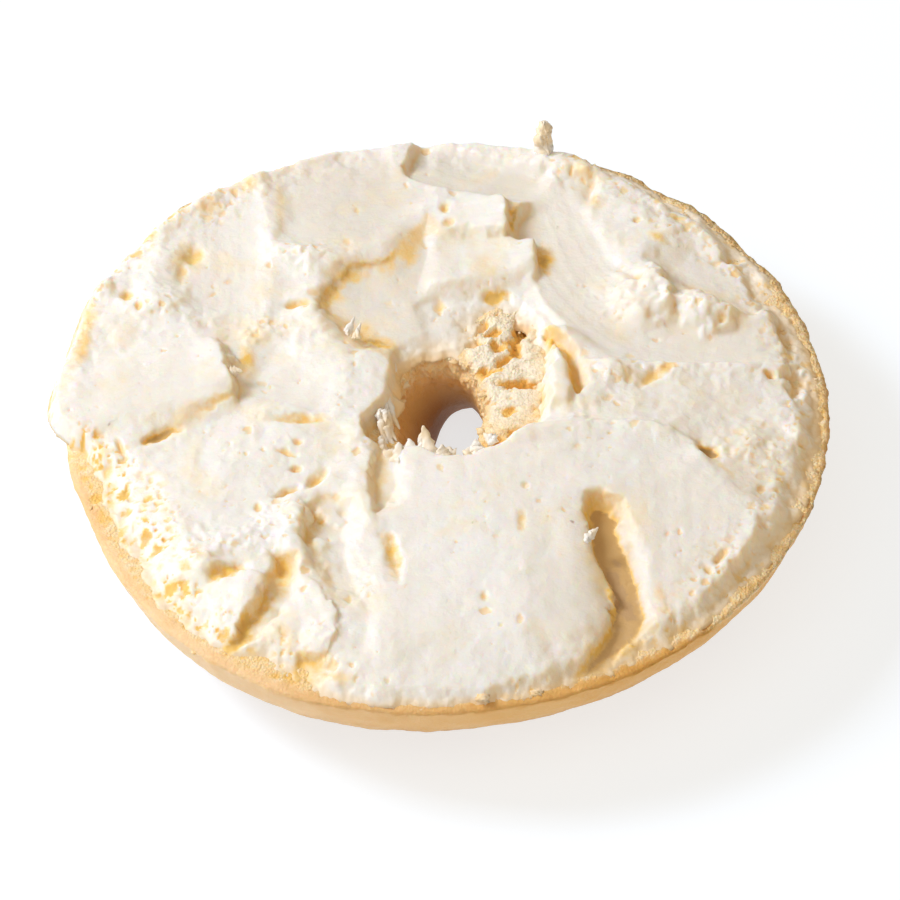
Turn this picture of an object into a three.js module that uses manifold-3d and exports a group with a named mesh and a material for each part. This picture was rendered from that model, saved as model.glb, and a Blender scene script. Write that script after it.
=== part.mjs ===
// Half of a plain bagel, cut level and lying on its crust with the cut face up,
// spread with a thick layer of cream cheese that a table knife has worked into
// panels, grooves and lifted lips. Two solids: the bread half (crust and crumb
// are one piece) and the spread. Millimetres, +Z up; the origin is on the base
// plane, under the middle of the whole half.
import * as THREE from 'three';
import { mergeVertices } from 'three/addons/utils/BufferGeometryUtils.js';
import Module from 'manifold-3d';

// ---------------------------------------------------------------- dimensions
const BREAD_RADIUS = 55.1;        // mean radius of the cut face
const CUT_HEIGHT = 17.0;          // the cut face above the base
const CUT_WAVE = 0.3;             // how far the knife cut wanders from level
// The hole leans to the right and widens on its way down: height, centre x and y,
// half width, half depth.
const HOLE = [
  [0.0, 2.8, 4.6, 5.8, 14.0], [1.0, 2.8, 4.2, 5.0, 12.8], [2.4, 2.8, 3.6, 4.6, 11.6],
  [6.0, 1.9, 2.6, 4.8, 10.2], [12.0, -0.4, 1.9, 6.2, 10.0], [17.0, -1.2, 1.8, 6.8, 10.0],
];
const TORN_HEIGHT = 1.0;          // crumb pulled up beside the hole
const TORN_X = 8.2;               // middle of that torn patch
const TORN_Y = 7.5;
const TORN_HALF_WIDTH = 4.6;
const TORN_HALF_DEPTH = 8.2;
const LEVEL_ABOVE = 16.0;         // above this height the wall follows the cut face
const GAP = 0.3;                  // air left between the spread and the bread
const SPREAD_THICKNESS = 3.0;     // spread that no stroke has touched
const SPREAD_EDGE = 0.45;         // thickness where the spread runs out
const NUB_X = 15.0;               // tuft of spread standing on the back edge
const NUB_Y = 52.2;
const NUB_RADIUS = 1.4;
const NUB_TOP = 25.0;
const CENTRE_X = -0.78;           // middle of the whole half, brought to the axis
const CENTRE_Y = 0.19;

const BREAD_SIDES = 96;           // facets round the bread
const SPREAD_SIDES = 126;         // facets round the spread
const SPREAD_RINGS = 24;          // rings from the hole to the rim on its top
const SPREAD_UNDER_RINGS = 6;     // rings underneath

const rad = (degrees) => degrees * Math.PI / 180;
const clamp01 = (t) => Math.min(1, Math.max(0, t));
const lerp = (a, b, t) => a + (b - a) * t;

// Smooth rise from 0 to 1 across a band of the given width centred on zero.
function rise(distance, width) {
  const t = clamp01(distance / width + 0.5);
  return t * t * (3 - 2 * t);
}

// Value of a periodic table of [angle in degrees, value] at an angle in degrees.
function around(table, degrees) {
  const a = ((degrees % 360) + 360) % 360;
  for (let k = 1; k < table.length; k++) {
    if (a <= table[k][0]) {
      const [a0, v0] = table[k - 1];
      const [a1, v1] = table[k];
      return lerp(v0, v1, (a - a0) / (a1 - a0));
    }
  }
  return table[0][1];
}

// A row of a table at any value of its first column, by straight lines.
function rowAt(table, value) {
  const top = Math.max(1, table.findIndex((row) => row[0] >= value));
  const [low, high] = [table[top - 1], table[top]];
  const t = clamp01((value - low[0]) / (high[0] - low[0]));
  return low.map((v, k) => lerp(v, high[k], t));
}

// ------------------------------------------------------------------- outlines
// Hand-rolled outline of the bread: a circle with a few slow waves.
function outline(t) {
  return BREAD_RADIUS
    + 0.51 * Math.sin(t - rad(22))
    + 0.11 * Math.sin(2 * t)
    + 0.63 * Math.sin(3 * t + rad(34))
    + 0.51 * Math.sin(4 * t - rad(166))
    + 0.32 * Math.sin(5 * t + rad(22));
}

// How far the spread stops short of the bread's rim; negative is an overhang.
const RIM_MARGIN = [
  [0, 3.2], [14, 2.6], [28, 3.6], [50, 3.4], [60, 1.8], [70, 0.8], [90, 0.6], [120, 0.6],
  [140, 0.9], [168, 1.0], [173, -0.5], [177, -1.9], [183, -1.9], [188, 3.4],
  [195, 4.4], [205, 4.0], [219, 3.6], [225, 2.2], [235, 2.4], [242, 4.4],
  [248, 3.4], [254, 1.0], [260, 0.8], [266, 1.8], [273, 1.0], [285, 1.3],
  [291, 3.2], [298, 2.6], [311, 1.6], [320, 2.4], [340, 2.8], [360, 3.2],
];

// Where the spread ends round the hole, measured from the axis. It stands back
// on the right, where the torn crumb lies bare.
const HOLE_MARGIN = [
  [0, 14.0], [15, 14.6], [35, 17.6], [48, 20.8], [60, 22.6], [70, 22.4], [76, 19.6],
  [81, 14.6], [88, 13.2], [108, 13.0], [124, 12.2], [139, 9.6], [155, 8.6], [172, 8.8],
  [186, 10.2], [199, 12.0], [212, 12.4], [222, 10.8], [235, 9.4], [250, 8.8], [262, 8.8],
  [277, 9.2], [292, 9.6], [305, 10.2], [318, 11.2], [332, 12.0], [345, 13.4], [360, 14.0],
];

// Length over which the spread thins away at the rim: feathered on the right,
// a thick rounded edge at the front and on the tongue.
const RIM_FEATHER = [
  [0, 5], [40, 5], [62, 3], [75, 2.4], [120, 2.4], [165, 2.4], [175, 1.6], [186, 2],
  [200, 4], [222, 3.5], [235, 2.5], [250, 3], [262, 2], [290, 2.4], [305, 3.5],
  [330, 5], [360, 5],
];

// The same length at the hole: long beside the torn crumb.
const HOLE_FEATHER = [
  [0, 2.4], [28, 2.6], [42, 4], [56, 5], [68, 5], [78, 3.2], [86, 2.4], [360, 2.4],
];

// The knife drew the spread thinner towards the rim: thickness there as a share
// of the thickness inside, and how far in that reaches.
const RIM_SHARE = [
  [0, 0.45], [40, 0.5], [60, 0.7], [75, 0.75], [150, 0.8], [168, 0.9], [174, 1], [184, 1],
  [192, 0.5], [200, 0.35], [240, 0.38], [260, 0.34], [285, 0.36], [300, 0.4], [360, 0.45],
];
const RIM_REACH = [
  [0, 10], [60, 9], [120, 8], [170, 6], [190, 8], [220, 8], [250, 10], [270, 14], [284, 11],
  [294, 6], [306, 9], [330, 12], [360, 10],
];

// -------------------------------------------------------------- knife strokes
// smear: a flattened panel. ends, half widths and heights above the cut at both
// ends; tilt and cup bend it across; soft is how gradually it ends to the left,
// the right, the start and the end.
const smear = (from, to, half, level, more = {}) => ({
  kind: 'smear', from, to, half, level,
  bow: 0, tilt: 0, cup: 0, soft: [1.5, 1.5, 1.5, 1.5], square: 4, ...more,
});
// ridge: a crest pushed up along a line, gentle on one side and steep on the other.
const ridge = (from, to, height, more = {}) => ({
  kind: 'ridge', from, to, height, gentle: 2.5, steep: 0.7, side: 1, bow: 0, ...more,
});
// basin: a sunk floor inside a closed line of corners [x, y, open], where open is 0
// under a steep wall and 1 where the floor runs out softly; near and far are how
// gradually it sinks at those two, and lip is the crest beside a steep wall.
const basin = (line, level, more = {}) => ({
  kind: 'basin', line, level, slope: [0, 0], near: 1.6, far: 3, lip: 0.4, bank: 0, ...more,
});
// pit: a dent or slot; mound: a dab left by the knife.
const pit = (at, size, depth, more = {}) => ({
  kind: 'pit', at, size, depth, angle: 0, soft: 0.35, ...more,
});
const mound = (at, size, height, more = {}) => ({
  kind: 'mound', at, size, height, angle: 0, power: 1, ...more,
});

const STROKES = [
  smear([-33, 46], [-31.5, 15], [5.5, 6.5], [2.4, 2.7], { tilt: 0.1, cup: 0.4, soft: [3, 4, 3, 3] }),
  ridge([-41.5, 38], [-41, 17], 0.8, { gentle: 2.6, steep: 2.4, bow: -0.8 }),
  mound([-41.5, 19.5], [4.5, 3], 0.9),
  smear([-25, 40], [1, 42.5], [10, 10], [2.2, 3],
    { tilt: -0.2, cup: 0.5, soft: [2, 2.6, 2, 1.8], square: 6 }),
  ridge([-25.2, 33], [-19.5, 26.5], 0.5, { gentle: 2.4, steep: 2.4, bow: 0.6 }),
  mound([-20, 29.5], [5.5, 2.2], 0.7, { angle: -8 }),
  ridge([-7, 54], [1.2, 43.2], 1.4, { gentle: 3.6, steep: 1.1, bow: -0.6 }),
  smear([-5, 51], [22, 42.5], [4.8, 4], [1.6, 1.8],
    { bow: -1.2, tilt: -0.4, cup: 0.35, soft: [2, 1.2, 1.4, 1.5], square: 6 }),
  ridge([1, 43.4], [17, 40], 1.1, { gentle: 3.2, steep: 1.2, bow: -0.7 }),
  ridge([15.8, 46.5], [21.2, 38.6], 1.3, { gentle: 2.4 }),
  mound([16.5, 49.5], [3.2, 2.6], 1.1),
  mound([21.5, 48], [2.6, 2.2], 1),
  smear([-4, 36.5], [9, 37], [5.2, 4.2], [3.2, 4.6], { soft: [2, 2, 4, 0.9], square: 5 }),
  ridge([8.4, 41.5], [8.4, 32.5], 0.8, { gentle: 2.4, steep: 0.8 }),
  smear([-2, 27], [13, 28.2], [6, 4.4], [2.9, 4], { soft: [2, 5, 6, 0.9], square: 5 }),
  ridge([12.6, 33], [12.6, 24], 0.7, { gentle: 2.6, steep: 0.8 }),
  pit([6.9, 27.2], [2.9, 4.4], 1.0, { soft: 0.8 }),
  smear([15, 43], [51, 10.5], [8, 6.4], [2, 2.1],
    { bow: -11.5, tilt: 0.3, cup: 0.5, soft: [3, 2, 2.5, 3], square: 6 }),
  smear([17, 3.2], [51, 2.5], [5.2, 5.4], [3.3, 2.3], { soft: [1.8, 3, 2, 3], square: 8 }),
  ridge([21, 7.4], [49, 8.2], 0.5, { gentle: 2.4, steep: 1.4, bow: -0.5 }),
  smear([15, 15], [15.4, -0.5], [1.7, 3], [3.7, 4.2], { soft: [0.9, 1, 1.5, 2] }),
  basin([
    [14.8, 15.4, 0.2], [18.4, 12, 0.6], [20.6, 6.4, 0.8], [19, 1.4, 0], [17.8, 6.8, 0.1], [15.2, 12.4, 0],
  ], 1.3, { far: 1.8 }),
  pit([30.8, 6], [4, 1.3], 1.2, { angle: 42, soft: 0.6 }),
  mound([24, 5.5], [3, 2], 0.6),
  smear([33, 31.5], [47, 20.5], [5, 4.8], [1.5, 1.4], { tilt: -0.5, cup: 0.4, soft: [2.5, 2, 2, 2] }),
  ridge([25, 28.5], [36, 33.5], 0.5, { gentle: 1.8, steep: 1.6 }),
  mound([28.4, 20.8], [5, 5], 2.6, { angle: 35, power: 1.3 }),
  ridge([31.4, 27.5], [33.6, 17.5], 1, { gentle: 2.8 }),
  mound([37.6, 18.6], [4.6, 2.8], 1.6, { angle: -14, power: 1.3 }),
  ridge([34.5, 16.8], [42, 15.6], 0.7, { gentle: 2, side: -1 }),
  smear([36, -3.5], [51, -14], [8, 7], [1.7, 1.1], { soft: [4, 4, 4, 4] }),
  smear([7, -11], [40.5, -15], [5.6, 5.4], [4, 3.2], { bow: 1.8, soft: [1.6, 4, 2, 1.8], square: 6 }),
  ridge([7, -7.4], [36.5, -8], 0.6, { gentle: 2.8, steep: 1.1, bow: 3.2 }),
  ridge([34.8, -8.6], [42.5, -18.5], 0.8, { gentle: 3.4, bow: -0.6 }),
  smear([34.4, -16], [32.5, -47], [9.4, 8], [3, 1.7], { cup: 0.4, soft: [4, 3, 14, 2], square: 8 }),
  smear([4, -8], [3, -57], [14, 13], [3.7, 3.3], { cup: -0.2, soft: [2.5, 3.5, 2, 2], square: 7 }),
  mound([18.6, -37], [4.8, 10], 1, { angle: 4, power: 1.3 }),
  basin([
    [19.8, -16.8, 0.2], [24.6, -16.2, 0.5], [26, -22, 0.9], [28.8, -34, 1], [29.4, -40, 1],
    [24.2, -46.4, 0.5], [16.4, -53.4, 0.2], [19.2, -47, 0.2], [22.4, -38, 0.5], [20.6, -28, 0.2],
  ], 0.7, { far: 3.6, lip: 0.5 }),
  pit([-7.3, -29], [5.4, 1.2], 1.6, { angle: 92, soft: 0.6 }),
  pit([31, -35.8], [3.6, 1.2], 0.5, { angle: 115, soft: 0.6 }),
  ridge([-12.6, -1], [-11.6, -24], 1, { gentle: 3.6, steep: 1.6, bow: 0.6 }),
  basin([
    [-7, -6, 0.8], [-10.8, -9, 0], [-12.4, -18, 0], [-11.4, -22, 0.1], [-7.4, -18, 1], [-6, -8, 1],
  ], 1.2, { far: 2.6, lip: 0.5 }),
  ridge([-21, -19], [-20.2, -33.5], 0.9, { gentle: 3, steep: 1.4 }),
  basin([
    [-15.8, -17.2, 0.4], [-19.8, -22, 0], [-20.2, -26, 0], [-17.6, -32.6, 0.1], [-14, -43, 1],
    [-11.4, -40, 1], [-14, -21, 0.8],
  ], 1.6, { far: 4.4, lip: 0.6 }),
  smear([-58.5, -2.2], [-31, 6], [5.6, 7], [3.3, 4.9],
    { bow: 0.5, cup: -0.3, soft: [5, 1, 0.8, 0.9], square: 5 }),
  ridge([-34, 13], [-30.8, 2.6], 1, { gentle: 3.4, bow: 0.8 }),
  basin([
    [-28.8, 4.4, 0.1], [-33.6, 0.6, 0], [-44, -7.4, 0], [-43.8, -9.4, 0.6], [-36.4, -5, 1], [-29.6, 0.8, 1],
  ], 1.8, { far: 2.4 }),
  smear([-27.6, 7.5], [-15.5, 3], [6.5, 6], [2.2, 2.8], { cup: 0.4, soft: [4, 4, 3, 4], square: 5 }),
  ridge([-21.5, 21], [-12.5, 1.5], 0.8, { gentle: 4.2, steep: 3.6, bow: -0.8 }),
  basin([
    [-2.6, 38, 0.5], [-6.8, 31.2, 0.1], [-14.6, 27.4, 0], [-18.2, 21.8, 0], [-16.2, 16.6, 0],
    [-12.8, 11.4, 0.2], [-9.4, 5, 0.4], [-2, 6, 1], [3, 12, 1], [4, 19, 1], [0.8, 33, 0.8],
  ], 0.8, { slope: [0.06, 0.03], far: 11, lip: 0.9, bank: 1.3 }),
  smear([-29, -31.5], [-36, -48], [7, 6.5], [3.9, 3.4], { soft: [1.2, 3, 2, 2.5] }),
  mound([-35.4, -30.8], [3.4, 2], 1.2, { angle: -10 }),
  smear([-20.5, -32.5], [-20, -48.5], [3.2, 4.4], [3, 2.6], { bow: 1.2, soft: [1, 1.5, 1, 2], square: 3 }),
  ridge([-19.8, -33], [-18.6, -47.5], 0.6, { gentle: 2.4, steep: 0.8, bow: 3.4 }),
  basin([
    [-22.4, -28.6, 0.2], [-25.4, -34.4, 0.1], [-30, -42.4, 0], [-32.6, -46.6, 0], [-26.6, -42.4, 0.8],
    [-20.8, -34.6, 1],
  ], 1.3, { far: 3.4, lip: 0.5 }),
  pit([-30.2, -33.2], [3, 1.2], 1.4, { angle: 20, soft: 0.6 }),
  mound([-29.5, -27.2], [6.5, 2.4], 1, { angle: 5 }),
  pit([-17.6, -50], [4.6, 1.4], 1.2, { angle: -60, soft: 0.6 }),
  pit([-20.4, -3.6], [3.6, 1.1], 1.2, { angle: 8, soft: 0.6 }),
  pit([37.2, -8.6], [2.6, 1.3], 0.8, { angle: -20, soft: 0.8 }),
];

const MIN_STEEP = 2.6;       // steepest crest flank that the facets can carry
const MIN_SOFT = 3.6;        // shortest step that they can carry
const BANK_REACH = 4.0;      // how far a bank reaches into a sunk floor
const LIP_OFFSET = 1.9;      // how far outside the wall its lip stands
const LIP_WIDTH = 1.7;

function frameOf(stroke, x, y) {
  const dx = stroke.to[0] - stroke.from[0];
  const dy = stroke.to[1] - stroke.from[1];
  const length = Math.hypot(dx, dy);
  const ux = dx / length;
  const uy = dy / length;
  const u = (x - stroke.from[0]) * ux + (y - stroke.from[1]) * uy;
  const t = u / length;
  const v = -(x - stroke.from[0]) * uy + (y - stroke.from[1]) * ux - stroke.bow * 4 * t * (1 - t);
  return { u, v, t, length };
}

function ovalDistance(stroke, x, y) {
  const c = Math.cos(rad(stroke.angle));
  const s = Math.sin(rad(stroke.angle));
  const dx = x - stroke.at[0];
  const dy = y - stroke.at[1];
  return Math.hypot((dx * c + dy * s) / stroke.size[0], (-dx * s + dy * c) / stroke.size[1]);
}

// Distance inside a closed line, negative outside it, and how open its nearest side is.
function insideLine(line, x, y) {
  let nearest = Infinity;
  let inside = false;
  let total = 0;
  let opened = 0;
  for (let k = 0; k < line.length; k++) {
    const [ax, ay, openA] = line[k];
    const [bx, by, openB] = line[(k + 1) % line.length];
    const ex = bx - ax;
    const ey = by - ay;
    const t = clamp01(((x - ax) * ex + (y - ay) * ey) / (ex * ex + ey * ey));
    const d = Math.hypot(x - ax - t * ex, y - ay - t * ey);
    const weight = Math.hypot(ex, ey) / (d * d + 0.3) ** 2;
    total += weight;
    opened += weight * lerp(openA, openB, t);
    nearest = Math.min(nearest, d);
    if ((ay > y) !== (by > y) && x < ex * (y - ay) / ey + ax) inside = !inside;
  }
  return [inside ? nearest : -nearest, opened / total];
}

// Thickness h after a basin has been sunk into it.
function sunk(s, h, x, y) {
  const [d, open] = insideLine(s.line, x, y);
  const soft = Math.max(lerp(s.near, s.far, open), MIN_SOFT);
  const mask = rise(d - 0.5 * soft * open, soft);
  const midX = s.line.reduce((sum, corner) => sum + corner[0], 0) / s.line.length;
  const midY = s.line.reduce((sum, corner) => sum + corner[1], 0) / s.line.length;
  const floor = s.level + s.slope[0] * (x - midX) + s.slope[1] * (y - midY)
    + s.bank * (1 - open) * Math.exp(-Math.max(d, 0) / BANK_REACH);
  const lipped = h + s.lip * (1 - open) * Math.exp(-(((d + LIP_OFFSET) / LIP_WIDTH) ** 2));
  return lerp(lipped, Math.min(lipped, floor), mask);
}

// Thickness of the spread before it is thinned at its edges.
function strokedThickness(x, y) {
  let h = SPREAD_THICKNESS
    + 0.3 * Math.sin(x / 7.3 + 1.1) * Math.sin(y / 8.1 - 0.4)
    + 0.2 * Math.sin(x / 4.1 - y / 5.7);
  for (const s of STROKES) {
    if (s.kind === 'smear') {
      const { u, v, t, length } = frameOf(s, x, y);
      const k = clamp01(t);
      const full = lerp(s.half[0], s.half[1], k);
      const along = clamp01((u + s.soft[2] / 2) / (length + (s.soft[2] + s.soft[3]) / 2));
      const rounded = Math.pow(clamp01(1 - Math.pow(Math.abs(2 * along - 1), s.square)), 1 / s.square);
      const w = full * Math.max(rounded, 0.02);
      const [left, right, first, last] = s.soft.map((step) => Math.max(step, MIN_SOFT));
      const mask = rise(w - v, left) * rise(w + v, right) * rise(u, first) * rise(length - u, last);
      const level = lerp(s.level[0], s.level[1], k)
        + s.tilt * (v / full) + s.cup * ((v / full) ** 2 - 0.33);
      h = lerp(h, level, mask);
    } else if (s.kind === 'ridge') {
      const { u, v, length } = frameOf(s, x, y);
      const across = v * s.side;
      const flank = across < 0 ? s.gentle : Math.max(s.steep, MIN_STEEP);
      h += s.height * Math.exp(-((across / flank) ** 2))
        * rise(u, length * 0.35) * rise(length - u, length * 0.35);
    } else if (s.kind === 'pit') {
      h -= s.depth * rise(1 - ovalDistance(s, x, y), 2 * s.soft);
    } else if (s.kind === 'basin') {
      h = sunk(s, h, x, y);
    } else {
      h += s.height * Math.exp(-(ovalDistance(s, x, y) ** (2 * s.power)));
    }
  }
  return h;
}

// ------------------------------------------------------------ the two surfaces
// Height of the bread's cut face, with the torn crumb beside the hole.
function cutFace(x, y) {
  const wave = CUT_WAVE * (Math.sin(x / 13 + 0.6) * Math.cos(y / 15 - 0.3)
    + 0.5 * Math.sin((x + y) / 9.5));
  const torn = Math.exp(-(Math.hypot((x - TORN_X) / TORN_HALF_WIDTH,
    (y - TORN_Y) / TORN_HALF_DEPTH) ** 6));
  return CUT_HEIGHT + wave
    + torn * TORN_HEIGHT * (0.35 + 0.65 * Math.sin(x * 1.15) * Math.sin(y * 0.95 + 0.8));
}

function spreadRadii(t) {
  const degrees = t * 180 / Math.PI;
  return [around(HOLE_MARGIN, degrees), outline(t) - around(RIM_MARGIN, degrees)];
}

function spreadTop(x, y) {
  const t = Math.atan2(y, x);
  const degrees = t * 180 / Math.PI;
  const r = Math.hypot(x, y);
  const [inner, outer] = spreadRadii(t);
  const rimFeather = around(RIM_FEATHER, degrees);
  const holeFeather = around(HOLE_FEATHER, degrees);
  const reach = around(RIM_REACH, degrees);
  const edge = rise(outer - r - rimFeather / 2, rimFeather)
    * rise(r - inner - holeFeather / 2, holeFeather);
  const share = lerp(around(RIM_SHARE, degrees), 1, rise(outer - r - reach / 2, reach));
  const h = Math.max(strokedThickness(x, y) * share, GAP + SPREAD_EDGE);
  return CUT_HEIGHT + lerp(GAP + SPREAD_EDGE, h, edge);
}

// ----------------------------------------------------------------- bread half
// Profile from the top of the hole over the cut face, down the crust, across
// the base and up the hole. 'across' runs from the hole's wall (0) to the rim
// (1); 'inset' steps in from the rim; 'flare' widens the hole.
const BREAD_PROFILE = [
  { flare: 1.00, z: 15.6 }, { flare: 1.04, z: 16.8 },
  { across: 0.05 }, { across: 0.11 }, { across: 0.17 }, { across: 0.24 }, { across: 0.45 },
  { across: 0.72 }, { across: 0.93 }, { across: 0.985 },
  { inset: 0.00, z: 16.6 }, { inset: 0.25, z: 15.6 }, { inset: 1.00, z: 13.3 },
  { inset: 2.30, z: 10.6 }, { inset: 4.40, z: 7.6 }, { inset: 7.60, z: 4.6 },
  { inset: 11.8, z: 1.9 }, { inset: 17.5, z: 0 },
  { flare: 1.50, z: 0 }, { flare: 1.00, z: 0 }, { flare: 1.00, z: 1.0 }, { flare: 1.00, z: 2.4 },
  { flare: 1.00, z: 6.0 }, { flare: 1.00, z: 10.4 },
];

function holePoint(t, z, flare) {
  const [, x, y, halfWidth, halfDepth] = rowAt(HOLE, z);
  return [x + halfWidth * flare * Math.cos(t), y + halfDepth * flare * Math.sin(t)];
}

// Small hand-made unevenness of the crust, none at the rim and on the base.
function crustWave(t, z) {
  const fade = clamp01(z / 4) * clamp01((CUT_HEIGHT - z) / 4);
  return fade * 0.4 * (Math.sin(7 * t + z / 3) + 0.6 * Math.sin(13 * t - z / 2 + 1));
}

function breadPoint(row, t) {
  if (row.flare !== undefined) {
    const [x, y] = holePoint(t, row.z, row.flare);
    return [x, y, row.z > LEVEL_ABOVE ? cutFace(x, y) - (CUT_HEIGHT - row.z) : row.z];
  }
  if (row.inset !== undefined) {
    const r = outline(t) - row.inset + crustWave(t, row.z);
    const x = r * Math.cos(t);
    const y = r * Math.sin(t);
    return [x, y, row.z > LEVEL_ABOVE ? cutFace(x, y) - (CUT_HEIGHT - row.z) : row.z];
  }
  const [hx, hy] = holePoint(t, CUT_HEIGHT, 1.04);
  const rim = outline(t);
  const x = lerp(hx, rim * Math.cos(t), row.across);
  const y = lerp(hy, rim * Math.sin(t), row.across);
  return [x, y, cutFace(x, y)];
}

function weld(geometry) {
  geometry.deleteAttribute('normal');
  geometry.deleteAttribute('uv');
  return mergeVertices(geometry, 1e-4);
}

function breadGeometry() {
  // The revolved profile gives the facets; every point then goes to its place.
  const rows = [...BREAD_PROFILE, BREAD_PROFILE[0]];
  const profile = rows.map((row, k) => new THREE.Vector2(10 + k, k));
  const geometry = new THREE.LatheGeometry(profile, BREAD_SIDES);
  const place = geometry.getAttribute('position');
  for (let side = 0; side <= BREAD_SIDES; side++) {
    const t = 2 * Math.PI * (side % BREAD_SIDES) / BREAD_SIDES;
    for (let k = 0; k < rows.length; k++) {
      const [x, y, z] = breadPoint(rows[k], t);
      place.setXYZ(side * rows.length + k, x - CENTRE_X, y - CENTRE_Y, z);
    }
  }
  return weld(geometry);
}

// --------------------------------------------------------------- cream cheese
function spreadGeometry() {
  const rows = [];
  for (let k = 0; k <= SPREAD_RINGS; k++) {
    const s = k / SPREAD_RINGS;
    rows.push({ s: s + 0.08 * Math.sin(2 * Math.PI * s) / (2 * Math.PI), top: true });
  }
  for (let k = SPREAD_UNDER_RINGS; k >= 0; k--) rows.push({ s: k / SPREAD_UNDER_RINGS, top: false });
  rows.push(rows[0]);
  const profile = rows.map((row, k) => new THREE.Vector2(10 + k, k));
  const geometry = new THREE.LatheGeometry(profile, SPREAD_SIDES);
  const place = geometry.getAttribute('position');
  for (let side = 0; side <= SPREAD_SIDES; side++) {
    const t = 2 * Math.PI * (side % SPREAD_SIDES) / SPREAD_SIDES;
    const [inner, outer] = spreadRadii(t);
    for (let k = 0; k < rows.length; k++) {
      const r = lerp(inner, outer, rows[k].s);
      const x = r * Math.cos(t);
      const y = r * Math.sin(t);
      const z = rows[k].top ? Math.max(spreadTop(x, y), cutFace(x, y) + GAP + SPREAD_EDGE)
        : cutFace(x, y) + GAP;
      place.setXYZ(side * rows.length + k, x - CENTRE_X, y - CENTRE_Y, z);
    }
  }
  return weld(geometry);
}

function nubGeometry() {
  const foot = CUT_HEIGHT + GAP + 0.5;
  const profile = [
    new THREE.Vector2(0, foot),
    new THREE.Vector2(NUB_RADIUS * 1.15, foot),
    new THREE.Vector2(NUB_RADIUS, lerp(foot, NUB_TOP, 0.45)),
    new THREE.Vector2(NUB_RADIUS * 1.1, lerp(foot, NUB_TOP, 0.8)),
    new THREE.Vector2(NUB_RADIUS * 0.6, lerp(foot, NUB_TOP, 0.95)),
    new THREE.Vector2(0, NUB_TOP),
  ];
  const geometry = new THREE.LatheGeometry(profile, 8);
  geometry.rotateX(Math.PI / 2);
  geometry.translate(NUB_X - CENTRE_X, NUB_Y - CENTRE_Y, 0);
  return weld(geometry);
}

// -------------------------------------------------------------------- solids
const wasm = await Module();
wasm.setup();

function solidOf(geometry) {
  const corners = Uint32Array.from(geometry.getIndex().array);
  const points = Float32Array.from(geometry.getAttribute('position').array);
  const build = () => new wasm.Manifold(new wasm.Mesh({
    numProp: 3, vertProperties: points, triVerts: corners,
  }));
  const solid = build();
  if (solid.volume() > 0) return solid;
  for (let k = 0; k < corners.length; k += 3) {
    [corners[k], corners[k + 1]] = [corners[k + 1], corners[k]];
  }
  return build();
}

function meshOf(name, solid, colour, roughness) {
  const data = solid.getMesh();
  const geometry = new THREE.BufferGeometry();
  geometry.setAttribute('position', new THREE.BufferAttribute(Float32Array.from(data.vertProperties), 3));
  geometry.setIndex(new THREE.BufferAttribute(Uint32Array.from(data.triVerts), 1));
  geometry.computeVertexNormals();
  const material = new THREE.MeshStandardMaterial({ color: colour, roughness, metalness: 0 });
  const mesh = new THREE.Mesh(geometry, material);
  mesh.name = name;
  return mesh;
}

const group = new THREE.Group();
group.add(meshOf('bagel_half', solidOf(breadGeometry()), 0xe3b676, 0.75));
group.add(meshOf('cream_cheese', solidOf(spreadGeometry()).add(solidOf(nubGeometry())), 0xf5eedf, 0.45));

export default group;
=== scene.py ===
"""Half a bagel, cut face up, spread with cream cheese.

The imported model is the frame. Four pieces ride on its root body. The bread (crust, crumb,
torn pores) and the spread (knife strokes, lifted lips, pits) replace its two nodes. Loose
crumbs and torn shreds of spread are added. All shape functions work in millimetres.
"""

import math

import bmesh
import bpy
import numpy as np
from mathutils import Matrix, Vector


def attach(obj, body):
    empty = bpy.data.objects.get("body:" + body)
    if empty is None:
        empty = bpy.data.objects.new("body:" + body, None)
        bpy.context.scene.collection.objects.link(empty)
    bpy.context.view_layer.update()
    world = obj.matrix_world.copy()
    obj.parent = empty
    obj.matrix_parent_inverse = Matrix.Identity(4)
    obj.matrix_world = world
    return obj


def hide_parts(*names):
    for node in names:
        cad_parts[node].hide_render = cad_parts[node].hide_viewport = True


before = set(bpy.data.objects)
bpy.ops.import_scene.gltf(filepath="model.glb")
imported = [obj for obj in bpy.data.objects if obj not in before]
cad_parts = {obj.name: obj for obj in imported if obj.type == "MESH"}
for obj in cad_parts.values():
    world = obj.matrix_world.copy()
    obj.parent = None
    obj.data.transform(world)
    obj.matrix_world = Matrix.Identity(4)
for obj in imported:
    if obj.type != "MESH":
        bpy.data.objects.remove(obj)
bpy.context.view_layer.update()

MM = 0.001
CENTRE = (-0.78, 0.19)      # the model's own centre, brought to the axis
CUT_Z = 17.0                # height of the cut face
BREAD_R = 55.1
HOLE_PROFILE = (    # z, centre x, centre y, half width, half depth: it leans right on its way down
    (0, 2.8, 4.6, 5.8, 14), (1, 2.8, 4.2, 5, 12.8), (2.4, 2.8, 3.6, 4.6, 11.6), (6, 1.9, 2.6, 4.8, 10.2),
    (12, -0.4, 1.9, 6.2, 10), (17, -1.2, 1.8, 6.8, 10))
HOLE_X, HOLE_Y, HOLE_WIDE, HOLE_DEEP = HOLE_PROFILE[-1][1:]
HOLE_TOP = 1.06             # how much wider the hole is where the cut face ends
RIM_ARC, HOLE_ARC = 54, 12  # noise along the rim and round the hole: mm to a radian
BUMP = 0.8                  # share of RIM_BUMPS that shows
GRID = 0.25                 # spacing of the spread's height map
SPAN = 59.0                 # half width of that map
TRIANGLES = 185_000         # most triangles in one piece


# ---------------------------------------------------------------- small maths
def unit(a):
    return np.clip(a, 0.0, 1.0)


def rise(d, width):
    """Soft step from 0 to 1, that wide and centred on d = 0."""
    t = unit(d / width + 0.5)
    return t * t * (3.0 - 2.0 * t)


def ramp_up(d, width):
    """Soft step that begins at d = 0."""
    return rise(d - width / 2, width)


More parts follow.
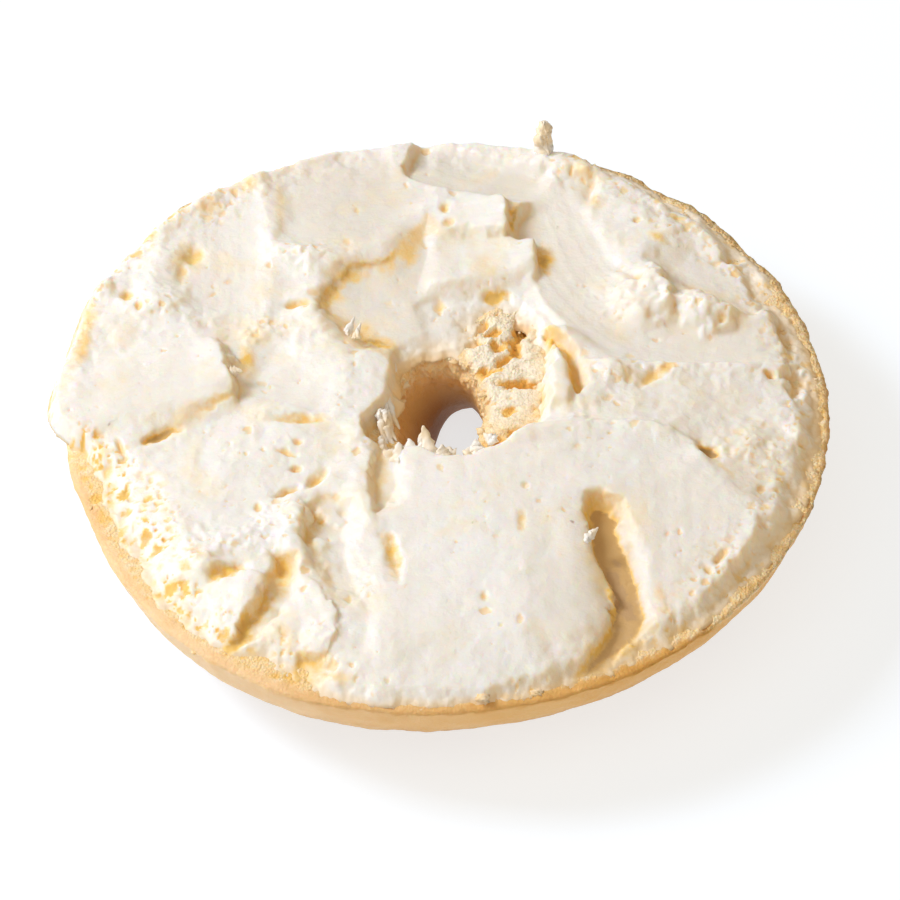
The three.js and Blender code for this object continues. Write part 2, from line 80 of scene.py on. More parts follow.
def fall_off(d, width):
    """1 where d is 0 or less, and falling off over that width."""
    return np.exp(-np.clip(d, 0, None) / width)


def mix(a, b, t):
    return a + (b - a) * t


def around(table, degrees):
    """Value of a periodic table of (degrees, value), rounded at its knots."""
    a = np.array([k[0] for k in table], float)
    v = np.array([k[1] for k in table], float)
    out = 0.0
    for shift, weight in ((-3.0, 0.25), (0.0, 0.5), (3.0, 0.25)):
        out = out + weight * np.interp((degrees + shift) % 360.0, a, v)
    return out


def perlin(x, y, seed):
    rng = np.random.default_rng(seed)
    perm = rng.permutation(256)
    ang = rng.uniform(0, 2 * np.pi, 256)
    gx, gy = np.cos(ang), np.sin(ang)
    xi, yi = np.floor(x).astype(int), np.floor(y).astype(int)
    xf, yf = x - xi, y - yi
    u = xf * xf * xf * (xf * (xf * 6 - 15) + 10)
    v = yf * yf * yf * (yf * (yf * 6 - 15) + 10)

    def corner(ix, iy, dx, dy):
        k = perm[(perm[ix & 255] + iy) & 255]
        return gx[k] * dx + gy[k] * dy

    low = mix(corner(xi, yi, xf, yf), corner(xi + 1, yi, xf - 1, yf), u)
    high = mix(corner(xi, yi + 1, xf, yf - 1), corner(xi + 1, yi + 1, xf - 1, yf - 1), u)
    return 1.5 * mix(low, high, v)


def fbm(x, y, scale, seed, octaves=3, gain=0.5):
    out, amp, total = 0.0, 1.0, 0.0
    for k in range(octaves):
        out = out + amp * perlin(x / scale, y / scale, seed + k)
        total += amp
        amp *= gain
        scale *= 0.5
    return out * (1.3 / total)


def pores(x, y, cell, seed, small, large, share):
    """Round hollows, one to a cell at most: 0 outside, 1 at the bottom."""
    rng = np.random.default_rng(seed)
    n = 128
    px, py = rng.uniform(0.15, 0.85, (2, n, n))
    size = rng.uniform(small, large, (n, n)) / cell
    size = np.where(rng.uniform(0, 1, (n, n)) < share, size, 0.0)
    depth = rng.uniform(0.45, 1.0, (n, n))
    ix, iy = np.floor(x / cell).astype(int), np.floor(y / cell).astype(int)
    out = np.zeros_like(x)
    for ox in (-1, 0, 1):
        for oy in (-1, 0, 1):
            a, b = (ix + ox) % n, (iy + oy) % n
            d = np.hypot(x / cell - (ix + ox + px[a, b]), y / cell - (iy + oy + py[a, b]))
            s = np.maximum(size[a, b], 1e-6)
            hollow = depth[a, b] * np.sqrt(unit(1.0 - (d / s) ** 2))
            out = np.maximum(out, np.where(size[a, b] > 0, hollow, 0.0))
    return out


# ------------------------------------------------------------------- outlines
def outline(t):
    r = math.radians
    return (BREAD_R + 0.51 * np.sin(t - r(22)) + 0.11 * np.sin(2 * t)
            + 0.63 * np.sin(3 * t + r(34)) + 0.51 * np.sin(4 * t - r(166))
            + 0.32 * np.sin(5 * t + r(22)))


# Tables round the half: (degrees from +X, mm). The spread ends RIM_MARGIN inside the bread's
# rim and at the radius HOLE_MARGIN, and it thins out there over the width of its FEATHER.
RIM_MARGIN = (
    (0, 1.8), (14, 1.4), (24, 1.8), (34, 0.8), (52, 0.7), (60, 0.6), (70, 0.2), (90, 0), (120, 0),
    (140, 0.3), (168, 0.4), (173, -0.5), (177, -1.9), (183, -1.9), (188, 3), (195, 4), (205, 3.4),
    (219, 3), (225, 2), (235, 2.2), (242, 4), (248, 3), (254, 0.8), (260, 0.6), (266, 1), (273, 0.6),
    (285, 0.7), (291, 1.8), (298, 1.4), (311, 1), (320, 1.6), (332, 1.6), (345, 1.8), (360, 2))
HOLE_MARGIN = (
    (0, 13.6), (15, 13.4), (35, 12.8), (60, 12.4), (81, 12.8), (88, 12.9), (108, 12.8), (124, 12),
    (139, 8.8), (155, 7.4), (172, 7.8), (186, 9.6), (199, 11.6), (212, 12), (222, 10.2), (235, 8.8),
    (250, 8), (262, 7.9), (277, 8.6), (292, 9.2), (305, 9.6), (318, 10.6), (332, 11.4), (345, 13),
    (360, 13.6))
RIM_FEATHER = (
    (0, 3.6), (25, 4), (38, 3.5), (62, 3), (75, 1.6), (120, 1.5), (165, 1.5), (175, 1.2), (186, 1.6),
    (200, 4), (222, 3.5), (235, 2.5), (250, 3.4), (262, 2.8), (290, 3), (305, 3.5), (330, 3.6),
    (360, 3.6))
HOLE_FEATHER = (
    (0, 1.8), (70, 1.8), (84, 3), (110, 3), (124, 1.8), (250, 1.8), (262, 2.6), (290, 2.4), (300, 1.8),
    (360, 1.8))
# how far in from the rim the crumb's pores show through the spread
RIM_NET = (
    (0, 5), (28, 5), (45, 6.5), (60, 5), (75, 1), (110, 0.3), (130, 2.5), (160, 2.5), (180, 0.3),
    (190, 5), (205, 6.5), (235, 6), (245, 4), (255, 1.5), (275, 3), (300, 2), (311, 5), (325, 6.5),
    (340, 5), (360, 5))
# how rugged the bread is along its rim
RUGGED = (
    (0, 0.9), (30, 1.1), (62, 1.4), (80, 0.5), (130, 0.4), (170, 0.22), (240, 0.22), (262, 0.3),
    (300, 0.3), (318, 0.9), (360, 0.9))
# how far in over the cut face the crust's colour reaches, and how pale the crust is, a painted light on its
# lower left
CRUST_OVER = (
    (0, -1), (185, -1), (194, 1.4), (240, 1.8), (262, 1.4), (285, 1.8), (305, 1.4), (318, -0.4),
    (330, -1), (360, -1))
PALE = (
    (0, 0), (165, 0.2), (190, 0.8), (215, 1), (238, 0.95), (256, 0.5), (275, 0.15), (300, 0), (360, 0))
# thickness of the spread at its rim, as a share of the inside, and how far in that reaches
RIM_SHARE = (
    (0, 0.95), (40, 0.8), (60, 0.7), (75, 0.75), (120, 0.8), (135, 0.9), (150, 0.8), (168, 0.9), (174, 1),
    (184, 1), (192, 0.5), (200, 0.35), (240, 0.38), (260, 0.34), (285, 0.36), (300, 0.6), (318, 0.9),
    (345, 0.95), (360, 0.95))
RIM_REACH = (
    (0, 10), (60, 9), (120, 8), (170, 6), (190, 8), (220, 8), (250, 10), (270, 14), (284, 11), (294, 6),
    (306, 9), (330, 12), (360, 10))
# height of the torn bumps on the far rim
RIM_BUMPS = (
    (0, 0), (25, 0.1), (29, 1.1), (33, 0.2), (40, 0.3), (44, 0.5), (49, 1.3), (53, 0.3), (57, 0.5),
    (60, 1.4), (64, 0.4), (68, 1.1), (73, 0.1), (104, 0), (112, 0.5), (118, 0.1), (126, 0.5), (130, 1.4),
    (135, 1.6), (139, 0.3), (152, 0), (156, 0.8), (160, 0.1), (360, 0))


def rim_bump(x, y):
    """Height that the torn bumps of the far rim add, falling off inward."""
    from_rim = outline(np.arctan2(y, x)) - np.hypot(x, y)
    return BUMP * (around(RIM_BUMPS, np.degrees(np.arctan2(y, x))) * fall_off(from_rim, 3.5))


def hole_ratio(x, y):
    """1 on the hole's edge in the cut face, and more outside it."""
    return np.hypot((x - HOLE_X) / HOLE_WIDE, (y - HOLE_Y) / HOLE_DEEP)


def cut_wave(x, y):
    return 0.3 * (np.sin(x / 13 + 0.6) * np.cos(y / 15 - 0.3) + 0.5 * np.sin((x + y) / 9.5))


# -------------------------------------------------------------- knife strokes
def smear(start, end, half, level, soft, **more):
    """Flat pass of the knife. half and level: at its start and end. soft: how softly its
    left and right side and its first and last end run out."""
    return dict(dict(kind="smear", start=start, end=end, half=half, level=level, soft=soft, bow=0.0,
                     tilt=0.0, cup=0.0, ragged=0.4, square=4, streak=0.05, rough=0.12, tone=0.1), **more)


def ridge(start, end, height, gentle, steep, **more):
    """Crest of spread: gentle and steep are the widths of its two flanks."""
    return dict(dict(kind="ridge", start=start, end=end, height=height, gentle=gentle, steep=steep,
                     side=1, hang=0.4, bow=0.0, ragged=1.0), **more)


def pit(at, size, depth, angle=0.0, **more):
    # a pit paints amber into itself, partly the crumb's colour and partly painted shade; from 0.9 on it
    # turns brown, which is painted shade
    return dict(dict(kind="pit", at=at, size=size, depth=depth, angle=angle, ragged=0.3, soft=0.35,
                     amber=0.8), **more)


def mound(at, size, height, angle=0.0, **more):
    return dict(dict(kind="mound", at=at, size=size, height=height, angle=angle, ragged=1.2, power=1.0,
                     rough=0.5), **more)


def basin(line, level, near, far, **more):
    """Sunk floor inside a closed line of corners (x, y, open): open is 0 where its wall
    is steep under a lip and 1 where the floor runs out softly. near and far: how wide
    the wall is where open is 0 and 1."""
    # amber paints a band along the steep walls under a lip, partly the crumb where the spread tears thin and
    # partly painted shade; floor paints the sunk floor brown, which is painted shade; tone darkens the
    # floor, partly painted shade
    return dict(dict(kind="basin", line=line, level=level, near=near, far=far, slope=(0.0, 0.0), lip=0.4,
                     hang=0.3, ragged=0.9, tone=0.5, amber=0.9, band=2.0, bank=0.0, fill=0.0, floor=0.0),
                **more)


def spot(kind, amount, at, size, angle=0.0, ragged=1.2):
    return dict(kind=kind, amount=amount, at=at, size=size, angle=angle, ragged=ragged)


def bare(at, size, angle=0.0):
    """Spot where the knife left next to nothing."""
    return spot("bare", 1.0, at, size, angle, 0.9)


def stain_and_shade(at, size, amount, angle=0.0, ragged=1.2):
    """Amber spot: in some places the crumb's colour coming through, in others painted shade; from an amount
    of 0.9 on it also turns brown, which is painted shade.
    """
    return spot("amber", amount, at, size, angle, ragged)


def porous(at, size, amount, angle=0.0):
    """Zone where the crumb's pores show through."""
    return spot("net", amount, at, size, angle)


SPOTS = dict(    # map: share, scale, octaves and gain of its noise, then level and width of its edge
    bare=(0.45, 2.6, 4, 0.65, 0.9, 1.1),
    net=(0.4, 3.5, 3, 0.6, 0.9, 0.9),
    amber=(0.5, 2.2, 4, 0.65, 0.7, 1.3))


# A stroke's place in this list seeds its noise. Plan view in mm: x right, y away.
STROKES = [
    # upper left: panel, its levee, the dab beside it
    smear((-33, 46), (-31.5, 15), (5.5, 6.5), (2.4, 2.7), (3, 4, 3, 3), cup=0.4, tilt=0.1, tone=0.4,
          rough=0.2),
    ridge((-41.5, 38), (-41, 17), 0.7, 3, 3.2, hang=0, bow=-0.8),
    mound((-35.4, 40.6), (3.6, 2.6), 0.9, 30),
    mound((-28.6, 45.4), (3.4, 1.8), 0.7, 20, ragged=1.4, rough=0.6),
    mound((-20.6, 49.4), (3.4, 1.5), 0.9, 12, ragged=1.4),
    mound((-49.8, 23.4), (1.6, 2.4), 1, 25, ragged=1.4, rough=0.6),
    mound((-41.5, 19.5), (4.5, 3), 0.9, ragged=0.9, rough=0.7),
    mound((-34, 17), (4, 2.2), 0.4, 10, ragged=1, rough=0.8), mound((-26, 15), (3.5, 3), 0.4, rough=0.9),
    # top panel
    smear((-25, 40), (1, 42.5), (10, 10), (2.3, 3), (2, 2.6, 4.4, 1.8), tilt=-0.2, cup=0.4, square=6,
          tone=0.85),
    ridge((-27, 48), (-25.6, 31), 0.35, 1.7, 3.2, hang=0, bow=0.5, ragged=0.9),
    # painted shade: a tan strip on the lee side of the levee
    stain_and_shade((-24.2, 40), (0.9, 6), 0.4, 4, ragged=0.8),
    ridge((-25.2, 33), (-19.5, 26.5), 0.5, 2.4, 2.4, hang=0, bow=0.6),
    mound((-20, 29.5), (5.5, 2.2), 0.7, -8, ragged=1, rough=0.8),
    ridge((-7, 54), (1.2, 43.2), 0.9, 3.6, 1.8, hang=0.1, bow=-0.6, ragged=0.8),
    # back panel
    smear((-5, 51), (22, 42.5), (4.8, 4), (1.6, 1.8), (2, 1.2, 1.4, 1.5), tilt=-0.4, cup=0.35, bow=-1.2,
          square=6, tone=0.9),
    ridge((1, 43.4), (17, 40), 1.1, 3.2, 1.2, hang=0.2, bow=-0.7, ragged=0.6),
    ridge((15.8, 46.5), (21.2, 38.6), 1.3, 2.4, 0.9, hang=0.6, ragged=0.6),
    mound((16.5, 49.5), (3.2, 2.6), 1.1, rough=1), mound((21.5, 48), (2.6, 2.2), 1, rough=1),
    # the two lumps of the middle, ragged on their right, and the low ground before them
    smear((-4, 36.5), (9, 37), (5.2, 4.2), (3.2, 4.6), (2, 2, 4, 0.9), ragged=0.8, square=5, rough=0.4),
    ridge((8.4, 41.5), (8.4, 32.5), 0.5, 2.4, 0.8, hang=0.6),
    smear((-6, 17), (19, 22), (5, 6), (0.8, 1.3), (4, 3, 6, 5), ragged=0.3, square=6),
    # painted shade: the first lump's shadow to its right, and the shadow right of the back panel's curl
    stain_and_shade((10.4, 36.6), (1.7, 3.6), 1.5, ragged=0.8), stain_and_shade((22.4, 41.2), (1, 1.8), 0.6),
    # big right sweep
    smear((15, 43), (51, 10.5), (8, 6.4), (2, 2.1), (3, 2, 2.5, 3), bow=-11.5, cup=0.5, tilt=0.3,
          square=6, tone=0.6),
    smear((0, 29.6), (13.4, 30), (4.4, 3.6), (2.4, 3.6), (1.6, 6, 6, 0.9), ragged=0.8, rough=0.2,
          tone=0.05),
    ridge((12.8, 33), (12.8, 26.5), 0.4, 2.6, 0.8, hang=0.6, ragged=1.2),
    # the second stain is painted shade to the right of the second lump; the first is a pale amber mark in
    # its dent
    stain_and_shade((6.4, 27.4), (2.8, 4.6), 0.4, ragged=0.9), stain_and_shade((14.6, 29.6), (1.5, 3.4), 1.4, ragged=0.8),
    # band under it, with its wedge
    smear((17, 3.2), (51, 2.5), (5.2, 5.4), (3.3, 2.3), (1.8, 3, 2, 3), ragged=1, square=8, streak=0.02,
          rough=0.75),
    ridge((21, 7.4), (49, 8.2), 0.5, 2.4, 1.4, hang=0.2, bow=-0.5),
    smear((15, 15), (15.4, -0.5), (1.7, 3), (3.7, 4.2), (0.9, 1, 1.5, 2), ragged=0.5, rough=0.4, tone=0),
    basin([(14.8, 15.4, 0.2), (16.6, 14.4, 0.4), (18.4, 12, 0.6), (20, 9.6, 0.8), (20.6, 6.4, 0.8),
           (20.4, 3, 0.6), (19, 1.4, 0), (17.8, 3.2, 0), (17.8, 6.8, 0.1), (16.8, 9.8, 0),
           (15.2, 12.4, 0)],
          1.6, 1.4, 2.6, lip=0.3, ragged=0.7, amber=1.1, band=2.6),
    pit((30.6, 5.8), (3.4, 0.9), 0.9, 38, soft=0.6, ragged=1), mound((24, 5.5), (3, 2), 0.6, rough=0.6),
    # right dab with its tail, and the dull panel behind
    smear((33, 31), (47, 20.5), (4.6, 4.8), (1.8, 1.4), (4, 2, 6, 2), cup=0.4, tilt=-0.3, tone=0.5),
    ridge((25, 28.5), (36, 33.5), 0.2, 1.8, 2.4, hang=0, ragged=0.9),
    mound((28.6, 21.2), (4.4, 5.2), 2.2, 35, ragged=1.4, power=1.4, rough=0.9),
    ridge((30.6, 27.5), (32.6, 17.5), 0.9, 2.4, 1.2, ragged=1.8),
    mound((37.6, 18.8), (5, 2.6), 2, -14, ragged=1.6, power=1.6, rough=0.9),
    stain_and_shade((36, 23), (2, 1.8), 0.4), stain_and_shade((42.6, 19), (1.2, 1.6), 0.35),
    ridge((34.5, 16.8), (42, 15.6), 0.7, 2, 0.9, side=-1, ragged=1.3),
    # right rough part
    smear((36, -3.5), (51, -14), (8, 7), (2.3, 1.5), (4, 4, 5, 4), ragged=1, rough=0.45, tone=0.3),
    porous((45, -8), (6.5, 9.5), 0.4), porous((33.5, 37), (4.2, 3.4), 1, -40),
    porous((41.6, -31), (6.5, 3), 0.9, 50), porous((20.5, 46.8), (4, 2.2), 0.8, -30),
    porous((-33, 41), (7, 3.4), 0.8, 32), porous((-49, -14), (2.2, 7), 0.6, 10),
    mound((44, -8), (6, 5), 0.5, ragged=1.5, rough=0.8),
    # lower right: dab, its ragged upper edge, the smooth panel beyond
    smear((7, -11), (40.5, -15), (5.6, 5.4), (4, 2.7), (1.6, 4, 2, 3.5), bow=1.8, ragged=0.9, square=6,
          rough=0.3),
    ridge((7, -7.4), (36.5, -8), 0.6, 2.8, 1.1, ragged=1.1, bow=3.2),
    ridge((35.4, -8.8), (41.5, -17.5), 0.4, 3.4, 1, hang=0.3, ragged=0.9, bow=-0.6),
    smear((34.4, -16), (32.5, -47), (9.4, 8), (3, 1.7), (4, 3, 14, 2), cup=0.4, square=8, tone=0.45),
    mound((37, -37), (5, 3.5), 0.5, 40, ragged=1.3),
    # front panel with its rolled edge over the groove
    smear((4, -8), (3, -57), (14, 13), (3.7, 3.3), (2.5, 3.5, 2, 2), cup=-0.2, square=7, tone=0.12,
          rough=0.25, streak=0.02),
    mound((6, -30), (9, 14), 0.4, ragged=1, rough=0.1),
    mound((12.4, -38), (5.5, 11), 0.6, 4, ragged=0.4, rough=0, power=1.3),
    smear((18.2, -22), (18.2, -50), (3.2, 5.2), (3.1, 2.9), (1.6, 5, 9, 3), tilt=-1.2, cup=-0.9, bow=0.8,
          ragged=0.3, square=6, tone=0.4, streak=0.01),
    # painted shade: the groove's floor and the long stain on it are brown; its amber band along the rolled
    # edge is partly painted shade
    basin([(20.2, -17.6, 0.3), (22.4, -17, 0.4), (25.2, -18.6, 0.7), (27, -22, 0.9), (28.8, -28, 1),
           (30, -34, 1), (30.2, -40, 0.9), (27, -43, 0.4), (23.2, -46, 0.3), (17, -51.8, 0.2),
           (19, -46.6, 0.1), (21.6, -43, 0), (22.9, -40, 0), (23.3, -36, 0), (22.2, -32, 0),
           (20.6, -28, 0), (20.2, -24, 0), (19.8, -20, 0)],
          0, 1.3, 5.6, slope=(0.04, 0), lip=0.15, hang=0.5, tone=0.9, amber=1.2, band=3.2, floor=1.6),
    stain_and_shade((24.4, -33.6), (11, 2.2), 2.3, -80, ragged=0.8),
    basin([(29.6, -32.4, 1), (30.8, -33.6, 1), (32.4, -37.6, 0.9), (31.6, -39.4, 0), (30.4, -37.4, 0),
           (29.2, -34.6, 0)],
          2.3, 1.4, 1.8, lip=0.2, hang=0.2, ragged=0.4, tone=0.6, amber=0.5),
    # flap left of the hole and the channel beside it
    ridge((-12.4, -3), (-11.6, -24), 0.7, 3.6, 1.8, bow=0.4, ragged=0.9),
    basin([(-5, -5, 0.9), (-8.6, -5.6, 0), (-10, -9, 0), (-10.6, -14, 0), (-10.8, -18, 0.1),
           (-9.6, -21.6, 0.5), (-5.6, -20, 1), (-4.2, -14, 1), (-4.4, -7, 1)],
          2.2, 1.6, 4.4, lip=0.2, tone=0.3, amber=0.6, band=1.8),
    # valley left of the front panel, under a torn crest
    ridge((-21, -19), (-20.2, -33.5), 0.9, 3, 1.6, hang=0.3, ragged=1.2),
    basin([(-17, -17.6, 0.3), (-19, -20, 0), (-20.2, -26, 0.1), (-18.8, -30, 0.2), (-17.6, -33, 0.4),
           (-15, -38, 0.8), (-9.4, -42, 1), (-8.8, -34, 1), (-9.8, -26, 1), (-12.4, -18, 0.8)],
          1.9, 1.2, 6.4, lip=0.5, hang=0.4, ragged=0.8, band=1.8, fill=0.6),
    pit((-7.4, -29), (4.2, 1), 1.6, -82, soft=0.5, ragged=0.9, amber=1),
    # left tongue
    smear((-58.5, -2.2), (-31, 6), (5.6, 7), (3.3, 4.5), (5, 3.6, 0.8, 1.1), bow=0.5, ragged=0.8,
          square=5, cup=-0.3, tone=0.15),
    ridge((-33.4, 12), (-31, 3.4), 0.8, 3.4, 1.1, hang=0.7, ragged=1.6, bow=0.8),
    # partly painted shade: amber turning brown in the crevice under the tongue's lower edge
    pit((-40.4, -5.8), (3, 0.9), 1.8, 27, soft=0.5, ragged=1.2, amber=1.5),
    pit((-33, -0.2), (3.6, 0.8), 0.6, 42, soft=0.6, ragged=1.4),
    # the second stain is painted shade at the tongue's ragged end
    stain_and_shade((-36.5, -2.6), (6.5, 1.8), 0.5, 35), stain_and_shade((-28.2, 7.4), (1.9, 4.6), 1.1, 10, ragged=0.8),
    # between the tongue and the hole
    smear((-27.6, 7.5), (-15.5, 3), (6.5, 6), (2.2, 2.8), (4, 4, 3, 4), cup=0.4, square=5, tone=0.45),
    mound((-23, -0.5), (4, 1.6), 0.5, 5, ragged=0.9),
    # recess behind the hole under its long lip
    ridge((-21.5, 21), (-12.5, 1.5), 0.8, 4.2, 3.6, hang=0, bow=-0.8),
    # partly painted shade: the amber band under the long lip, and the floor's tone
    basin([(-2.6, 38, 0.5), (-5, 34, 0.2), (-6.8, 31.2, 0.1), (-9, 29.4, 0), (-11.8, 28.7, 0),
           (-14.6, 27.4, 0), (-16.8, 25, 0), (-18.2, 21.8, 0), (-17.6, 19, 0.1), (-16.2, 16.6, 0.25),
           (-14.6, 13.4, 0.35), (-12.8, 11.4, 0.35), (-10.6, 10.6, 0.35), (-7.6, 8.6, 0.5), (-2, 6, 1),
           (3, 12, 1), (5, 19, 1), (2.4, 26, 1), (0.8, 33, 0.8)],
          1.1, 3, 11, slope=(0.05, 0.03), hang=0.4, ragged=0.7, tone=1, amber=0.85, band=2.2, bank=1.2),
    # painted shade: the floor under the lip, and the wall left of the hole
    stain_and_shade((-9.8, 14), (3.6, 1.9), 1.3, -48, ragged=0.8), stain_and_shade((-9.8, -4.4), (1.6, 4.2), 1, ragged=0.8),
    # lower left paddle, its slot, and the thin flake beside it
    smear((-29, -31.5), (-36, -48), (7, 6.5), (3.9, 3.4), (1.2, 3, 2, 2.5), tone=0.05),
    mound((-35.4, -30.8), (3.4, 2), 1.2, -10, rough=0.2, ragged=0.6),
    smear((-20.5, -32.5), (-20, -48.5), (3.2, 4.4), (3, 2.6), (1, 1.5, 1, 2), ragged=0.8, bow=1.2,
          square=3, tone=0.3, rough=0.4),
    ridge((-19.8, -33), (-18.6, -47.5), 0.7, 2.4, 0.9, hang=0.6, bow=3.4, ragged=1.6),
    basin([(-23.4, -29.6, 0.1), (-24.6, -33.4, 0), (-26.4, -38, 0), (-29.4, -42.6, 0), (-32, -46.4, 0.2),
           (-27, -45, 1), (-22, -42, 1), (-18.6, -37.5, 1), (-19, -31.5, 1), (-21, -29.4, 0.6)],
          1.3, 1.2, 6, tone=0.4, amber=1.3, fill=0.4),
    pit((-30.4, -32.4), (2.6, 1.2), 2.4, 12, soft=0.4, ragged=0.9, amber=1),
    mound((-29.5, -27.2), (6.5, 2.4), 1, 5, ragged=1.8, rough=1),
    basin([(-19.8, -45.4, 0), (-17.6, -46.2, 0.1), (-14, -47.4, 1), (-15, -49.6, 1), (-17.8, -49, 0.4),
           (-19.6, -51, 0.2), (-17, -54, 1), (-18.6, -54.2, 0.9), (-20.8, -51, 0), (-20.6, -47.6, 0)],
          0.5, 1.2, 3, lip=0.7, hang=0.4, ragged=1.5, tone=0.6, amber=1.2, band=2.2, fill=0.1),
    mound((-40, -24), (4.5, 3), 0.4, ragged=1.6, rough=0.6),
    mound((-23, -23), (4, 4), 0.3, ragged=1.4, rough=0.8),
    # slots and pinholes worth naming
    pit((7.2, 22.8), (1.4, 0.9), 1.6, ragged=1.4, soft=0.4, amber=1.3),
    pit((-0.8, 20.8), (0.7, 1.3), 0.7, ragged=1, amber=0.7),
    pit((-20.6, -3), (3.6, 0.9), 1.2, 4, soft=0.5, ragged=1, amber=1),
    pit((-46, 21.4), (1, 0.8), 1.6, ragged=0.8), pit((-44.3, 18.7), (0.5, 0.9), 1.4),
    pit((-37, 30.4), (1.5, 1.9), 1.4, soft=0.5, ragged=1),
    pit((-38.4, 26), (0.9, 1.9), 0.8, soft=0.6, ragged=1),
    pit((-21.5, 19.8), (1.7, 0.7), 2, 8, ragged=0.8),
    pit((-22.2, -17.2), (1.7, 0.6), 1.8, 28, ragged=0.6), pit((-18, -14.6), (2, 0.7), 2, 52, ragged=0.6),
    pit((-21.4, -12.4), (0.9, 0.7), 1.2, ragged=1), pit((-22.5, -9.6), (1.2, 0.5), 1, ragged=1.2),
    pit((-20.8, -8), (0.6, 0.5), 0.9), pit((-47.5, -11.4), (0.7, 1), 1.6, ragged=0.8),
    pit((-46, -8.2), (0.5, 1.6), 1.6, 20, ragged=0.6), pit((-44.8, -15.4), (0.5, 0.6), 1.1),
    pit((-47, -16.8), (0.5, 0.8), 1.1, 20),
    # painted shade: a dark tan pit with brown in it
    pit((37.4, -8.8), (1.9, 1.4), 2.8, -35, soft=0.5, ragged=0.8, amber=1.7),
    stain_and_shade((39.6, -12.4), (3.4, 0.5), 0.5, -50), pit((47, 6.2), (0.7, 0.6), 1.4, ragged=0.8),
    pit((38.6, -28.6), (1.5, 0.6), 1.6, 55, ragged=0.6),
    pit((36.6, -31), (0.5, 0.9), 1.4, 30, ragged=0.6), pit((28.5, 36.6), (0.6, 0.5), 1.2),
    pit((40.2, 16.4), (0.8, 0.5), 1, ragged=0.8), pit((0.3, 39), (0.7, 1.2), 1.3, ragged=0.7),
    pit((0.7, 35.8), (0.8, 0.8), 1.1, ragged=0.7), pit((10.8, -23), (0.6, 1.8), 0.5),
    pit((5.4, -37), (0.5, 0.9), 0.8), pit((11.4, -16.4), (0.5, 0.6), 0.7),
    pit((-26.2, -20.2), (0.5, 0.8), 0.9),
    # crumb laid bare, and showing through
    stain_and_shade((31.6, 33), (2.4, 0.9), 0.8, -25), pit((34.4, 37.4), (1.4, 0.8), 1, -40, soft=0.6, ragged=1.4),
    bare((46.4, 24.5), (1.6, 6), 25), bare((49.4, 17), (1.4, 5), 12), bare((43, 31.5), (2.2, 1.6), -40),
    bare((50.6, 7), (1.6, 4)), bare((43, -30.6), (3.4, 1.6), 50), bare((39.5, -35.5), (3, 1.4), 45),
    bare((-46, -28), (1.6, 4.2), 18), bare((-24.8, -46.6), (3.4, 1.3), -20), bare((7.5, -53), (1.6, 1.2)),
    bare((3, -54.2), (1.6, 0.8)), stain_and_shade((-38.4, 29.4), (1.6, 3.4), 0.7, -20, ragged=1.4),
    stain_and_shade((-27, 13.6), (2.6, 1.4), 0.5, ragged=1.6), stain_and_shade((-45.6, -27), (1.4, 6), 0.7, 14, ragged=1.4),
    stain_and_shade((-50.2, -16), (1.2, 7), 0.8, 12), stain_and_shade((-28.4, 44.6), (2.6, 1.6), 0.7, 20),
    stain_and_shade((-34.6, 39.6), (2.2, 1.6), 0.6, 30), stain_and_shade((-52.4, 14), (1.4, 9), 0.8, -6),
    stain_and_shade((-28, 15), (8.5, 3), 0.28), stain_and_shade((-36.4, 29), (1.6, 2.2), 0.5),
    stain_and_shade((20.8, 47), (3.2, 2), 0.5, -30), stain_and_shade((44, -9), (7, 8), 0.15), stain_and_shade((41.4, 2), (5, 5), 0.1),
    # the first stain is painted shade under the torn edge at the lower left
    stain_and_shade((-15.4, -49.6), (3.6, 1.4), 0.6, -12), stain_and_shade((-42, -33), (3, 6), 0.3, 40),
]


def reach(s):
    """The box that a stroke can touch."""
    if s["kind"] == "basin":
        px, py = [p[0] for p in s["line"]], [p[1] for p in s["line"]]
        return min(px) - 6, max(px) + 6, min(py) - 6, max(py) + 6
    if "at" in s:
        r = 2.2 * max(s["size"]) + 2.5
        x, y = s["at"]
        return x - r, x + r, y - r, y + r
    (ax, ay), (bx, by) = s["start"], s["end"]
    r = (max(s["half"]) + 6 if s["kind"] == "smear" else 3 * s["gentle"] + 3) + abs(s["bow"])
    return min(ax, bx) - r, max(ax, bx) + r, min(ay, by) - r, max(ay, by) + r


def stroke_frame(s, x, y):
    """Distance along the stroke and across it, its length, and the way across."""
    (ax, ay), (bx, by) = s["start"], s["end"]
    length = math.hypot(bx - ax, by - ay)
    ux, uy = (bx - ax) / length, (by - ay) / length
    u = (x - ax) * ux + (y - ay) * uy
    v = -(x - ax) * uy + (y - ay) * ux
    t = u / length
    return u, v - s["bow"] * 4 * t * (1 - t), length, (-uy, ux)


def oval(s, x, y):
    """1 on the edge of the stroke's oval, 0 in its middle."""
    c, n = math.cos(math.radians(s["angle"])), math.sin(math.radians(s["angle"]))
    dx, dy = x - s["at"][0], y - s["at"][1]
    return np.hypot((dx * c + dy * n) / s["size"][0], (-dx * n + dy * c) / s["size"][1])


def inside_line(line, x, y):
    """Distance to a closed line, positive inside it, and how open its nearest side is."""
    far = np.full(x.shape, 1e9)
    inside = np.zeros(x.shape, bool)
    total, opened = 0.0, 0.0
    for (ax, ay, ao), (bx, by, bo) in zip(line, line[1:] + line[:1]):
        ex, ey = bx - ax, by - ay
        t = unit(((x - ax) * ex + (y - ay) * ey) / (ex * ex + ey * ey))
        d = np.hypot(x - ax - t * ex, y - ay - t * ey)
        weight = math.hypot(ex, ey) / (d * d + 0.3) ** 2
        total = total + weight
        opened = opened + weight * mix(ao, bo, t)
        far = np.minimum(far, d)
        if ay != by:
            inside ^= ((ay > y) != (by > y)) & (x < (bx - ax) * (y - ay) / (by - ay) + ax)
    return np.where(inside, far, -far), opened / total


